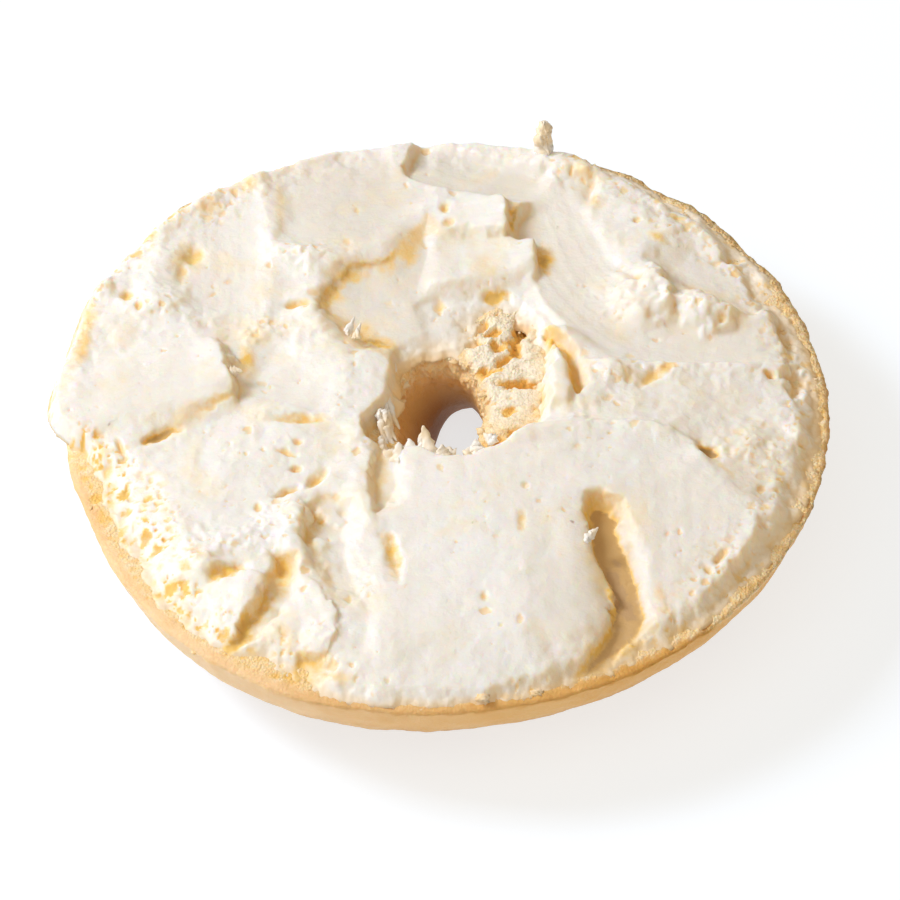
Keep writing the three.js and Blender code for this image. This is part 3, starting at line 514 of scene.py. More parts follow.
def wobble(x, y, seed, fine_seed):
    return 1.1 * fbm(x, y, 4.5, seed, 3, 0.55) + 0.28 * fbm(x, y, 1.3, fine_seed, 3, 0.6)


def lay(f, share, **levels):
    """Moves the named maps towards new levels by that share."""
    for name, level in levels.items():
        f[name][:] = mix(f[name], level, share)


def raise_to(f, name, level):
    f[name][:] = np.maximum(f[name], level)


def apply_stroke(s, seed, x, y, f):
    """Works one stroke into the maps f: height h, side shifts sx and sy, roughness, tone,
    bareness, amber colour, net of pores."""
    calm = s["ragged"] * (0.35 + 0.65 * rise(fbm(x, y, 9.0, seed + 50, 2), 0.6))
    wx = x + calm * wobble(x, y, seed, seed + 31)
    wy = y + calm * wobble(x, y, seed + 3, seed + 33)
    if s["kind"] == "smear":
        u, v, length, _ = stroke_frame(s, wx, wy)
        t = unit(u / length)
        full = mix(*s["half"], t)
        left, right, first, last = s["soft"]
        along = unit((u + first / 2) / (length + (first + last) / 2))
        w = unit(1 - np.abs(2 * along - 1) ** s["square"]) ** (1 / s["square"])
        w = full * np.maximum(w, 0.02)
        vary = 0.75 + 0.8 * rise(fbm(x, y, 7.0, seed + 41, 2), 0.9)
        m = rise(w - v, left * vary) * rise(w + v, right * vary)
        m = m * rise(u, first * vary) * rise(length - u, last * vary)
        z = mix(*s["level"], t) + s["tilt"] * (v / full) + s["cup"] * ((v / full) ** 2 - 0.33)
        z = z + 1.6 * s["streak"] * fbm(u / 14, v, 1.3, seed + 11, 3, 0.6)
        lay(f, m, h=z, rough=s["rough"], tone=s["tone"])
        for name in ("sx", "sy", "amber"):
            f[name] *= 1 - m
    elif s["kind"] == "ridge":
        u, v, length, across = stroke_frame(s, wx, wy)
        v = v * s["side"]
        p = np.exp(-(v / np.where(v < 0, s["gentle"], s["steep"])) ** 2)
        p = p * rise(u, length * 0.35) * rise(length - u, length * 0.35)
        p = p * (1 + 0.55 * fbm(u, 0 * u + 3.3, 6.0, seed + 5, 3, 0.45))
        f["h"] += s["height"] * p
        f["rough"] += 0.25 * p
        f["tone"] *= 1 - 0.8 * p
        teeth = unit(fbm(u, 0.3 * v, 2.2, seed + 19, 2) - 0.42)
        torn = s["hang"] * p * (0.8 + 0.7 * fbm(u, 0.3 * v, 5.0, seed + 17, 2) + 1.4 * teeth)
        f["sx"] += torn * across[0] * s["side"]
        f["sy"] += torn * across[1] * s["side"]
    elif s["kind"] == "pit":
        d = oval(s, wx, wy) + 0.30 * fbm(x, y, 1.5, seed + 9, 3, 0.6)
        f["h"] -= 0.55 * s["depth"] * rise(0.85 - d, 1.2 + s["soft"])
        raise_to(f, "amber", s["amber"] * rise(1.0 - d, 0.9))
    elif s["kind"] == "basin":
        d, open_side = inside_line(s["line"], wx, wy)
        closed = 1 - open_side
        cx, cy = (sum(p[k] for p in s["line"]) / len(s["line"]) for k in (0, 1))
        soft = mix(s["near"], s["far"], open_side)
        m = rise(d - 0.5 * soft * open_side, soft)
        filled = s["fill"] * rise(fbm(x, y, 5.5, seed + 23, 3, 0.5), 0.5)
        z = s["level"] + s["slope"][0] * (x - cx) + s["slope"][1] * (y - cy)
        z = z + s["bank"] * closed * fall_off(d, 4.0) + filled
        f["h"] += s["lip"] * closed * np.exp(-((d + 1.9) / 1.7) ** 2)
        lay(f, m, h=np.minimum(f["h"], z), rough=0.2, tone=s["tone"])
        # partly painted shade: the amber band along the closed walls, and the floor's amber, brown from 0.9
        # on
        band = s["band"] * (0.55 + 0.9 * rise(fbm(x, y, 3.0, seed + 21, 3), 1.0))
        glow = s["amber"] * closed * rise(d + 0.4, 0.9) * rise(band - d, 1.8) / (1 + filled)
        f["amber"] *= 1 - 0.7 * m
        raise_to(f, "amber", np.maximum(glow, s["floor"] * rise(m - 0.82, 0.4)))
        gy, gx = np.gradient(d, GRID)
        teeth = unit(fbm(x, y, 2.0, seed + 19, 2) - 0.42)
        torn = s["hang"] * closed * np.exp(-((d + 0.5) / 1.1) ** 2)
        torn = torn * (0.75 + 0.8 * fbm(x, y, 4.0, seed + 17, 2) + 1.3 * teeth)
        f["sx"] += torn * gx
        f["sy"] += torn * gy
    elif s["kind"] == "mound":
        p = np.exp(-oval(s, wx, wy) ** (2 * s["power"]))
        f["h"] += s["height"] * p
        f["rough"] += s["rough"] * p
        f["tone"] *= 1 - 0.7 * p
    else:
        share, scale, octaves, gain, level, width = SPOTS[s["kind"]]
        d = oval(s, wx, wy) + share * fbm(x, y, scale, seed + 9, octaves, gain)
        raise_to(f, s["kind"], s["amount"] * rise(level - d, width))


def blur(a, n):
    """Box blur of a map, twice, n cells each way."""
    for _ in range(2):
        for axis in (0, 1):
            pad = np.concatenate([np.repeat(a.take([0], axis), n + 1, axis), a,
                                  np.repeat(a.take([-1], axis), n, axis)], axis)
            c = np.cumsum(pad, axis)
            size = a.shape[axis]
            a = (c.take(range(2 * n + 1, 2 * n + 1 + size), axis) - c.take(range(size), axis)) / (2 * n + 1)
    return a


# ----------------------------------------------------------------- bread half
PATCH = ((8.6, 9.0), (5.8, 11.8))    # torn crumb beside the hole: centre, half sizes
PATCH_PITS = (    # x, y, half sizes, depth, angle
    (11.3, 18, 1.2, 2.6, 2.8, -8), (5.2, 17.6, 1.5, 0.8, 1.6, 25), (10.4, 13.4, 0.9, 2.2, 2.2, 5),
    (11.4, 5.8, 2.7, 1, 2.2, -4), (7.2, 16.2, 1.1, 0.9, 1.5, 20), (4.2, 14.4, 1.1, 0.8, 1.3, 0),
    (7.6, 13.4, 0.9, 1.2, 1.6, 30), (8.4, 10.6, 1.4, 0.8, 1.6, 40), (6, 8.4, 1, 1.4, 1.4, 0),
    (9.2, 0.6, 1.2, 0.8, 0.9, 15), (7.4, -4.6, 0.8, 0.8, 1.8, 0), (10.2, -3.4, 1.4, 0.7, 0.8, 25))


def crumb_relief(x, y):
    """Fine relief of the cut crumb, and how deep each point lies in a pore."""
    wx, wy = x + 0.5 * fbm(x, y, 2.0, 60, 2), y + 0.5 * fbm(x, y, 2.0, 64, 2)
    big = pores(wx, wy, 3.4, 11, 0.5, 1.6, 0.34)
    mid = pores(wx, wy, 1.7, 12, 0.25, 0.8, 0.6)
    fine = pores(x, y, 0.8, 13, 0.12, 0.34, 0.6)
    rough = fbm(x, y, 1.6, 21, 4, 0.65)
    (cx, cy), (wide, deep) = PATCH
    torn = np.exp(-np.hypot((wx - cx) / wide, (wy - cy) / deep) ** 8)
    ragged = 1 - 2 * np.abs(fbm(x, y, 3.4, 51, 5, 0.62))
    z = 0.2 * rough - 0.8 * big - 0.45 * mid - 0.16 * fine
    z = z + torn * (0.12 * ragged + 0.08 * rough + 0.35 * fbm(x, y, 4.5, 57, 2) + 0.35)
    hole = 0 * x
    for px, py, rx, ry, depth, angle in PATCH_PITS:
        d = oval(dict(at=(px, py), size=(rx, ry), angle=angle), wx, wy)
        d = d + 0.35 * fbm(x, y, 1.3, 59, 3, 0.6)
        hole = np.maximum(hole, 0.75 * depth * rise(0.95 - d, 0.8))
    depth = big + 0.7 * mid + 0.25 * fine + torn * unit(0.35 - 1.1 * ragged) + 1.1 * hole
    smeared = torn * rise(0.55 - depth + 0.5 * fbm(x, y, 3.0, 58, 3, 0.6), 0.6)
    return z - hole, unit(depth), torn, smeared


def hole_at(z):
    """Centre and half sizes of the hole at height z."""
    heights, *sizes = zip(*HOLE_PROFILE)
    return [np.interp(z, heights, size) for size in sizes]


WALL, TOP, SIDE = range(3)    # what a row of points belongs to
AROUND = 1024                 # points in a row


def bread_rows():
    """Kind, width or inset, and height of each row: up the hole's wall, out over the cut
    face, down the crust, in under the base and up the wall again."""
    rows = [(WALL, 1.0 + 0.06 * rise(z - 15.6, 1.6), z) for z in np.arange(8.4, 16.7, 0.3)]
    out = np.linspace(0.02, 0.36, 46), np.linspace(0.44, 0.76, 5), np.linspace(0.80, 0.985, 30)
    rows += [(TOP, a, CUT_Z) for a in np.concatenate(out)]
    crust = ((0, 16.6), (0.25, 15.6), (1, 13.3), (2.3, 10.6), (4.4, 7.6), (7.6, 4.6), (11.8, 1.9), (17.5, 0))
    arc = np.cumsum([0] + [math.dist(a, b) for a, b in zip(crust, crust[1:])])
    inset, height = zip(*crust)
    for s in np.concatenate([np.arange(0, 17, 0.4), np.linspace(17.5, arc[-1], 8)]):
        rows.append((SIDE, np.interp(s, arc, inset), np.interp(s, arc, height)))
    rows.append((WALL, 1.5, 0))
    return rows + [(WALL, 1.0, z) for z in (0, 0.5, 1, 1.7, 2.4, 3.3, 4.2, 5.1, 6, 6.9, 7.7)]


def build_bread():
    rows = bread_rows()
    n = AROUND
    t = 2 * np.pi * np.arange(n) / n
    cos, sin, rim = np.cos(t), np.sin(t), outline(t)
    shape = []
    for kind, a, z in rows:
        if kind == WALL:
            cx, cy, wide, deep = hole_at(float(z))
            slant = 0.5 * max(0.0, 1 - z / 8)
            across = mix(cos, np.sign(cos) * np.abs(cos) ** 0.7, 2 * slant)
            x, y = cx + wide * a * across, cy + deep * a * sin + slant * wide * across
        elif kind == TOP:
            x = mix(HOLE_X + HOLE_WIDE * HOLE_TOP * cos, rim * cos, a)
            y = mix(HOLE_Y + HOLE_DEEP * HOLE_TOP * sin, rim * sin, a)
        else:
            x, y = (rim - a) * cos, (rim - a) * sin
        shape.append((x, y, np.full(n, float(z))))
    x, y, z = (np.array([row[k] for row in shape]) for k in range(3))
    kinds = np.array([row[0] for row in rows])[:, None]
    wall, top, side = kinds == WALL, kinds == TOP, kinds == SIDE
    radius = np.hypot(x, y)
    theta = np.arctan2(y, x)
    deg = np.degrees(theta)
    # cut face: crumb, rounded and chipped at the rim
    relief, depth, torn, smeared = crumb_relief(x, y)
    rugged = around(RUGGED, deg)
    relief = relief * mix(rugged, 1.0, torn)
    from_rim = outline(theta) - radius
    chips = fbm(theta * RIM_ARC, 0 * z, 4.0, 71, 5, 0.65)
    top_z = CUT_Z + cut_wave(x, y) + relief - fall_off(from_rim, 1.1) * (0.45 + 0.4 * rugged * chips)
    top_z = top_z + fall_off(from_rim, 3.0) * 0.4 * rugged * fbm(x, y, 2.2, 73, 4, 0.62)
    top_z = top_z - 0.6 * fall_off(hole_ratio(x, y) - HOLE_TOP, 0.10) + rim_bump(x, y)
    z = np.where(top, top_z, z)
    # crust: slow dents, blisters, and the cut's waviness carried to its edge
    dents = 0.35 * fbm(theta * RIM_ARC, z, 9.0, 81, 3) + 0.12 * fbm(theta * RIM_ARC, z, 1.8, 85, 3)
    edge = np.where(side, unit((z - 13.5) / 3.0), 0.0)
    z = z + edge * (cut_wave(x, y) - 0.25 * chips + rim_bump(x, y))
    fade = unit(z / 3.0)
    push = np.where(side, dents * fade + edge * (0.55 * rugged * chips + rim_bump(x, y)), 0.0)
    # wall of the hole, torn in its upper half
    along = theta * HOLE_ARC
    ripped = unit((z - 9) / 5)
    holes = pores(along + 40, z + 40, 1.8, 93, 0.3, 0.9, 0.6)
    dent = (0.25 + 0.75 * ripped) * fbm(along, z, 4.0, 91, 5, 0.62)
    dent = dent + 0.5 * ripped * (holes + 0.5 * fbm(along, z, 1.2, 94, 3, 0.6))
    hx, hy = hole_at(z)[:2]
    dx, dy = x - hx, y - hy
    d = np.maximum(np.hypot(dx, dy), 1e-6)
    x = x + np.where(wall, dent * dx / d * fade, push * x / radius)
    y = y + np.where(wall, dent * dy / d * fade, push * y / radius)
    points = np.stack([x - CENTRE[0], y - CENTRE[1], z], -1).reshape(-1, 3) * MM
    i, j = np.arange(len(rows))[:, None] * n, np.arange(n)[None, :]
    nxt, right = np.roll(i, -1), (j + 1) % n
    quads = np.stack([i + j, i + right, nxt + right, nxt + j], -1).reshape(-1, 4)[:, ::-1]
    obj = mesh_object("bagel_bread", points, quads)
    # colours: crust over the rim; paler at lower left, which is painted light; brown down the hole,
    # darkening with depth, which is painted shade
    line = 0.35 * fbm(theta * RIM_ARC, 0 * theta, 2.2, 95, 3)
    over = around(CRUST_OVER, deg)
    crust = np.where(side, rise(CUT_Z - 0.7 + 2 * unit(over) + line - z, 0.9),
                     rise(over + 2 * line - from_rim, 1.2))
    crust = np.where(wall, rise(13.2 + 1.2 * fbm(along, z, 3.0, 97, 3) - z, 3.0), crust)
    attributes(obj, crust=crust, pore=np.where(top, depth, 0.0), smeared=np.where(top, smeared, 0.0),
               bore=np.where(wall, rise(14.6 - z, 4.0), 0.0), pale=around(PALE, deg) * rise(z - 8.0, 9.0))
    return obj


# --------------------------------------------------------------------- spread
def cells_between(low, high):
    """Rows or columns of the map between two coordinates."""
    return slice(max(0, int((low + SPAN) / GRID)), max(0, int((high + SPAN) / GRID) + 1))


def worked_maps(x, y):
    """What the strokes leave, as maps over the whole square."""
    h = 3.0 + 0.3 * np.sin(x / 7.3 + 1.1) * np.sin(y / 8.1 - 0.4) + 0.2 * np.sin(x / 4.1 - y / 5.7)
    h = h + 0.25 * fbm(x, y, 5.0, 3, 3)
    f = {name: 0 * h for name in ("sx", "sy", "bare", "amber", "net")}
    # tone: a darker beige, partly the panels' own colour and partly painted shade on panels and floors that
    # face away from the light; ridges and mounds clear it
    f.update(h=h, rough=0 * h + 0.5, tone=0 * h + 0.15)
    for k, s in enumerate(STROKES):
        x0, x1, y0, y1 = reach(s)
        part = cells_between(y0, y1), cells_between(x0, x1)
        apply_stroke(s, 100 + 7 * k, x[part], y[part], {name: a[part] for name, a in f.items()})
    return f


def from_patch(x, y):
    """Distance from the ragged line round the torn patch, negative inside it."""
    (cx, cy), (wide, deep) = PATCH
    across, along = (x - cx) / wide, (y - cy) / deep
    size = np.maximum(np.hypot(across, along), 1e-6)
    d = (size - 1.0) * size / np.maximum(np.hypot(across / wide, along / deep), 1e-6)
    return d + 1.2 * fbm(x, y, 3.6, 17, 4, 0.6)


def spread_maps():
    axis = np.arange(-SPAN, SPAN + GRID / 2, GRID)
    x, y = np.meshgrid(axis, axis)
    f = worked_maps(x, y)
    # soft curds where no knife passed, a fine tremble where one did
    rough = np.clip(f["rough"], 0, 1.4)
    curd = 0.5 - np.abs(fbm(x, y, 3.6, 23, 3, 0.5))
    fine_curd = 0.5 - np.abs(fbm(x, y, 2.1, 67, 3, 0.5))
    h = f["h"] + rough * (0.42 * curd + 0.30 * fbm(x, y, 6.5, 25, 2) + 0.09 * fbm(x, y, 1.4, 27, 3, 0.6))
    h = h + 0.10 * fbm(x, y, 4.0, 29, 2) + 0.34 * rise(rough - 0.85, 0.5) * fine_curd
    # edges: at the rim, at the hole and round the torn patch
    theta = np.arctan2(y, x)
    deg = np.degrees(theta)
    r = np.hypot(x, y)
    rim = outline(theta)
    margin, feather, inner, far = (around(table, deg)
                                   for table in (RIM_MARGIN, RIM_FEATHER, HOLE_FEATHER, RIM_REACH))
    wander = 0.9 * fbm(x, y, 6.0, 7, 2) + 0.35 * fbm(x, y, 1.9, 9, 3, 0.6)
    d_out = rim - margin - r + wander * np.clip(feather / 3, 0.35, 1.2)
    d_in = r - around(HOLE_MARGIN, deg) + 0.7 * wander
    d_patch = from_patch(x, y)
    rounded = np.sqrt(unit(1 - (1 - unit(d_out / feather)) ** 2))
    edge = mix(ramp_up(d_out, feather), rounded, rise(2.6 - feather, 1.6)) * ramp_up(d_in, inner)
    edge = edge * ramp_up(d_patch, mix(4.5, 1.8, rise(x - PATCH[0][0] - 1.5, 4.0)))
    fall = edge * (1 - 0.97 * f["bare"])
    # beyond its edge the film is thin, torn and patchy
    film = 0.02 + 0.12 * rise(-np.cos(theta) - 0.2, 0.4) - 0.22 * rise(-np.sin(theta) - 0.6, 0.4)
    film = film + 0.45 * fbm(x, y, 2.6, 15, 4, 0.55)
    back = rise(np.sin(theta) - 0.1, 0.5)
    lumps = (0.24 + 0.2 * back) * rise(6.0 - d_out, 6.0) * fbm(x, y, 3.4, 37, 4, 0.55)
    inward = mix(around(RIM_SHARE, deg), 1.0, ramp_up(d_out, far))
    thick = (np.maximum(h, 0.4) * inward + lumps) * fall + film * (1 - fall)
    thick = thick - 1.2 * unit(unit(-d_out / 2.5) + unit(-d_in / 1.2) + unit(-d_patch / 1.2))
    # specks: shallow torn marks in drifts, and a fine grain
    drift = rise(fbm(x, y, 11.0, 63, 2) + 0.15 * rough, 0.5)
    wx, wy = x + 0.5 * fbm(x, y, 1.3, 61, 2), y + 0.5 * fbm(x, y, 1.3, 62, 2)
    pin = pores(wx, wy * 0.8, 2.3, 41, 0.2, 0.8, 0.14) * drift
    pin = np.maximum(pin, 0.8 * pores(wx, wy, 1.2, 42, 0.10, 0.30, 0.14) * (0.2 + 0.8 * drift))
    pin = np.maximum(pin, rise(f["rough"] - 0.95, 0.4) * pores(wx, wy, 1.5, 44, 0.2, 0.6, 0.5))
    # net: the crumb's pores, along the rim and in the porous zones
    net = np.maximum(pores(wx, wy, 2.3, 45, 0.3, 1.0, 0.6), 0.8 * pores(wx, wy, 1.2, 46, 0.15, 0.45, 0.7))
    width = around(RIM_NET, deg)
    zone = rise(width - d_out, 0.9 * width + 0.5) * rise(fbm(x, y, 7.0, 65, 2) + 0.22, 0.6)
    zone = np.maximum(zone, f["net"])
    thick = thick - (0.28 * pin + 0.38 * net * zone) * fall + 0.03 * fbm(x, y, 0.9, 43, 3)
    low_left = rise(-np.cos(theta) - 0.5, 0.3) * rise(-np.sin(theta), 0.3)
    glow = (0.85 + 0.4 * low_left) * zone
    glow = glow * rise(net + 0.35 * fbm(x, y, 1.6, 47, 3) - 0.32 + 0.1 * low_left, 0.6)
    amber = np.maximum(f["amber"], glow)
    # the border rolls over and goes into the bread
    ragged = rim + 0.1 + 0.3 * fbm(theta * RIM_ARC, 0 * r, 3.0, 39, 3)
    beyond = np.where(margin < 0.5, np.where(margin < 0, rim - margin + 0.3, ragged), rim - 0.7)
    beyond = blur(beyond + BUMP * around(RIM_BUMPS, deg), 3)
    roll = unit(beyond - r)
    z = CUT_Z + cut_wave(x, y) + rim_bump(x, y) + mix(-0.8, thick, np.sqrt(1 - (1 - roll) ** 2))
    # painted shade: walls that face away from the key light, towards +x and -y, are tinted amber
    gy, gx = np.gradient(blur(z, 1), GRID)
    amber = np.maximum(amber, 0.45 * rise(0.35 * gy - 0.94 * gx - 0.45, 0.7))
    # painted shade: depth below the blurred surface, which tints hollows and the feet of walls amber
    hollow = np.maximum(blur(z, 5) - z, 0.55 * (blur(z, 14) - z))
    keep = np.minimum(np.minimum(beyond - r, d_in + 1.0), d_patch + 1.4)
    return dict(x=x, y=y, z=z, sx=f["sx"] * fall, sy=f["sy"] * fall, keep=keep, thick=thick,
                hollow=hollow, pin=pin * fall, tone=blur(f["tone"], 3), amber=amber)


def build_spread():
    maps = spread_maps()
    keep = maps["keep"]
    n = keep.shape[0]
    inside = keep > 0
    cell = inside[:-1, :-1] & inside[:-1, 1:] & inside[1:, 1:] & inside[1:, :-1]
    index = np.arange(n * n).reshape(n, n)
    quads = np.stack([index[:-1, :-1], index[:-1, 1:], index[1:, 1:], index[1:, :-1]], -1)[cell]
    used, flat = np.unique(quads, return_inverse=True)
    at = {name: a.ravel()[used] for name, a in maps.items()}
    # border points slide onto the true border line
    cells = np.pad(cell.astype(int), 1)
    border = cells[:-1, :-1] + cells[:-1, 1:] + cells[1:, :-1] + cells[1:, 1:] < 4
    gy, gx = np.gradient(keep, GRID)
    steep = np.maximum(np.hypot(gx, gy), 1e-6)
    for name, slope in (("x", gx), ("y", gy)):
        at[name] -= np.where(border, keep * (slope / steep) / steep, 0.0).ravel()[used]
    points = np.stack([at["x"] + at["sx"] - CENTRE[0], at["y"] + at["sy"] - CENTRE[1], at["z"]], -1)
    obj = mesh_object("cream_spread", points * MM, flat.reshape(-1, 4))
    attributes(obj, **{name: at[name] for name in ("thick", "hollow", "pin", "tone", "amber")})
    close_underneath(obj, floor_z=(CUT_Z - 1.3) * MM, tuck=1.2 * MM)
    return obj


# ------------------------------------------------------------ crumbs and shreds
def ball(level):
    bm = bmesh.new()
    bmesh.ops.create_icosphere(bm, subdivisions=level, radius=1.0)
    points = np.array([v.co[:] for v in bm.verts])
    faces = np.array([[v.index for v in f.verts] for f in bm.faces])
    bm.free()
    return points, faces


def lump(shape, at, size, seed, flat=0.6):
    """A torn crumb: a ball pushed in and out by noise, pressed flat."""
    points, faces = shape
    rng = np.random.default_rng(seed)
    p = points @ np.linalg.qr(rng.normal(size=(3, 3)))[0]
    a, b = 1.7 * p[:, 0] + 1.1 * p[:, 2] + seed, 1.7 * p[:, 1] - 1.1 * p[:, 2]
    r = 0.8 + 0.9 * fbm(a, b, 1.1, seed % 97, 4, 0.7) + 0.5 * np.abs(fbm(a, b, 0.7, seed % 83, 3, 0.6))
    p = p * r[:, None] * rng.uniform(0.5, 1.4, 3) * size
    return p * (1, 1, flat) + np.array(at), faces


def shred(at, end, radius, seed, tip=0.14, bend=0.25, flat=1.0):
    """A torn spike, thick at its root."""
    rings, sides = 12, 12
    rng = np.random.default_rng(seed)
    at, end = np.array(at, float), np.array(end, float)
    along = end - at
    length = np.linalg.norm(along)
    along = along / length
    across = np.cross(along, (0.05, -0.68, 0.73))
    across = across / np.linalg.norm(across)
    third = np.cross(along, across)
    side = rng.normal(size=2) * bend * length * 0.4
    t = np.linspace(0, 1, rings)
    angle = 2 * np.pi * np.arange(sides) / sides
    turn, step = np.meshgrid(angle, t)
    r = radius * ((1 - t) ** 0.75 * (1 - tip) + tip)
    r = r[:, None] * (1 + 0.8 * fbm(turn * 0.9 + seed, 4.0 * step, 1.0, seed % 89, 3, 0.6))
    r = np.maximum(r, 0.12 * radius)
    middle = at + along * (t * length)[:, None] + (across * side[0] + third * side[1]) * (t * t)[:, None]
    spokes = np.cos(angle)[:, None] * across + flat * np.sin(angle)[:, None] * third
    ring = middle[:, None] + r[:, :, None] * spokes
    caps = middle[:1] - along * radius * 0.3, middle[-1:] + along * tip * radius * 0.6
    points = np.concatenate([ring.reshape(-1, 3), *caps])
    faces = []
    for i in range(rings - 1):
        for j in range(sides):
            a, b = i * sides + j, i * sides + (j + 1) % sides
            faces += [(a, b, b + sides), (a, b + sides, a + sides)]
    first, last = rings * sides, rings * sides + 1
    for j in range(sides):
        k = (j + 1) % sides
        faces += [(first, k, j), (last, first - sides + j, first - sides + k)]
    return points, np.array(faces)


def joined(name, parts):
    points, faces, start = [], [], 0
    for p, f in parts:
        points.append(p)
        faces.append(f + start)
        start += len(p)
    points = np.concatenate(points) - np.array([*CENTRE, 0.0])
    mesh = bpy.data.meshes.new(name)
    mesh.from_pydata((points * MM).tolist(), [], np.concatenate(faces).tolist())
    mesh.validate()
    bm = bmesh.new()
    bm.from_mesh(mesh)
    write_outward(bm, mesh)
    smooth(mesh)
    return placed(name, mesh)


CRUMB_SHARE = (    # how thickly crumbs lie along the rim
    (0, 1), (30, 1), (55, 0.9), (66, 0.5), (80, 0.05), (130, 0.15), (150, 0.3), (170, 0.1), (186, 0.2),
    (196, 0.8), (240, 0.9), (255, 0.3), (275, 0.25), (300, 0.25), (318, 0.6), (360, 0.8))


def build_crumbs():
    rng = np.random.default_rng(5)
    fine, coarse = ball(2), ball(3)
    parts = []

    def add(at, size, seed):
        parts.append(lump(coarse if size > 0.6 else fine, at, size, seed))

    tries = 900
    theta = rng.uniform(0, 2 * np.pi, tries)
    share = rng.uniform(0, 1, tries)
    inset = rng.uniform(0.0, 1.0, tries) ** 1.5 * 3.6 + 0.15
    size = np.minimum(0.26 + 0.7 * rng.uniform(0, 1, tries) ** 3, 0.3 + 0.35 * inset)
    for k in range(tries):    # torn rim
        if share[k] > 0.08 * around(CRUMB_SHARE, math.degrees(theta[k])):
            continue
        r = outline(theta[k]) - inset[k]
        z = CUT_Z + 0.1 * rng.normal() - 0.45 * size[k] - 0.5 * math.exp(-inset[k] / 0.8)
        add((r * math.cos(theta[k]), r * math.sin(theta[k]), z), size[k], 1000 + k)
    (cx, cy), (wide, deep) = PATCH
    for k in range(14):    # torn patch beside the hole
        a, q = rng.uniform(0, 2 * np.pi), math.sqrt(rng.uniform(0.05, 1))
        x, y = cx + wide * q * math.cos(a), cy + deep * q * math.sin(a)
        if hole_ratio(x, y) < 1.0:
            continue
        big = 0.2 + 0.35 * rng.uniform() ** 2.5
        add((x, y, CUT_Z - 0.2 + 0.3 * rng.normal()), big, 2000 + k)
    for k in range(26):    # hole's torn upper edge
        a = rng.uniform(0, 2 * np.pi)
        z = rng.uniform(12.5, 17.0)
        cx, cy, wide, deep = hole_at(z)
        at = (cx + wide * 1.04 * math.cos(a), cy + deep * 1.03 * math.sin(a), z)
        parts.append(lump(fine, at, rng.uniform(0.3, 0.8), 3000 + k))
    for x, y, z, big in (    # lumps on the far rim and one at the front
            (18, 50.4, 18.4, 1.3), (20.6, 49.6, 18.6, 1.4), (22.8, 48.6, 18.2, 1.4), (21.6, 47, 18.8, 1),
            (19, 49, 19.2, 0.9), (26.4, 46.2, 17.4, 1), (35.6, 40, 17.4, 1.1), (40.2, 36, 17.2, 0.9),
            (5.2, -52.8, 17.6, 0.8)):
        parts.append(lump(coarse, (x, y, z), big, int(7 * x + 90 * z) % 9000, flat=0.85))
    # crust flake standing off the right side
    parts.append(shred((53.0, -7.5, 15.8), (55.4, 3.0, 15.8), 1.0, 41, tip=0.12, bend=0.04, flat=0.4))
    return joined("bread_crumbs", parts)


SHREDS = (    # root, tip, half width of the root: broad torn flakes
    ((-8.6, 2.6, 18.4), (-6.8, -1.6, 16), 0.8), ((-9.2, -0.8, 18.8), (-7.2, -4.4, 16.6), 0.8),
    ((-2.2, -9, 18.6), (-3, -5.4, 21), 1.6), ((-4.4, -9.8, 18.9), (-4.8, -7.2, 20.4), 1.4),
    ((-6.4, -10.4, 19.2), (-6.7, -8.2, 20.6), 1.3), ((-0.2, -9.4, 18.6), (-0.6, -8.2, 20.2), 1.3),
    ((4.6, -7.8, 18.4), (4.2, -6.4, 19.2), 1.2), ((7, -5.6, 18.2), (6, -5, 18.8), 1.1),
    ((19.9, -26.8, 21), (21.6, -25.4, 21.6), 0.7), ((-14, 13.4, 20.6), (-12.9, 16, 21.4), 0.6),
    ((-12.9, 12.4, 20.6), (-12.1, 14.8, 21.2), 0.5), ((-30.6, 5.2, 21.2), (-29, 5.4, 21.2), 0.8))


def build_shreds():
    rng = np.random.default_rng(8)
    parts = []
    for k, (a, b, r) in enumerate(SHREDS):
        a, b = np.array(a), np.array(b)
        parts.append(shred(a, b, r, 60 + 5 * k, tip=0.08, bend=0.2, flat=0.4))
        start = a + rng.normal(size=3) * (0.8, 0.5, 0.2) * r
        end = mix(a, b, rng.uniform(0.4, 0.8)) + rng.normal(size=3) * 0.5 * r
        parts.append(shred(start, end, 0.7 * r, 61 + 5 * k, tip=0.1, bend=0.3, flat=0.5))
        parts.append(lump(ball(3), a, 0.9 * r, 900 + k))
    for k in range(16):    # fibres torn down along the hole's left edge
        y = mix(9.0, -6.5, k / 15) + 0.4 * rng.normal()
        x, z = -7.9 - 0.09 * (9 - y) + 0.3 * rng.normal(), 18.0 + 0.3 * rng.normal()
        tip = (x + rng.uniform(0.9, 1.9), y - rng.uniform(2.2, 4.4), rng.uniform(14.4, 16.4))
        thick = rng.uniform(0.35, 0.6)
        parts.append(shred((x, y, z), tip, thick, 200 + k, tip=0.1, bend=0.25, flat=0.6))
    # knob on the far rim
    parts.append(shred((15.0, 52.0, 17.4), (15.2, 52.3, 24.6), 1.5, 333, tip=0.55, bend=0.04))
    knob = ((14.7, 52, 18.4, 1.7), (15.4, 52.1, 20.6, 1.2), (14.6, 52.2, 22.2, 1.1), (15.4, 52.3, 23.6, 1),
            (14.9, 52.3, 24.2, 0.8))
    parts += [lump(ball(3), at, size, 400 + k, flat=1.0) for k, (*at, size) in enumerate(knob)]
    return joined("cream_shreds", parts)


# ------------------------------------------------------------- mesh utilities
def placed(name, data):
    obj = bpy.data.objects.new(name, data)
    bpy.context.scene.collection.objects.link(obj)
    return obj


def smooth(mesh):
    mesh.polygons.foreach_set("use_smooth", [True] * len(mesh.polygons))


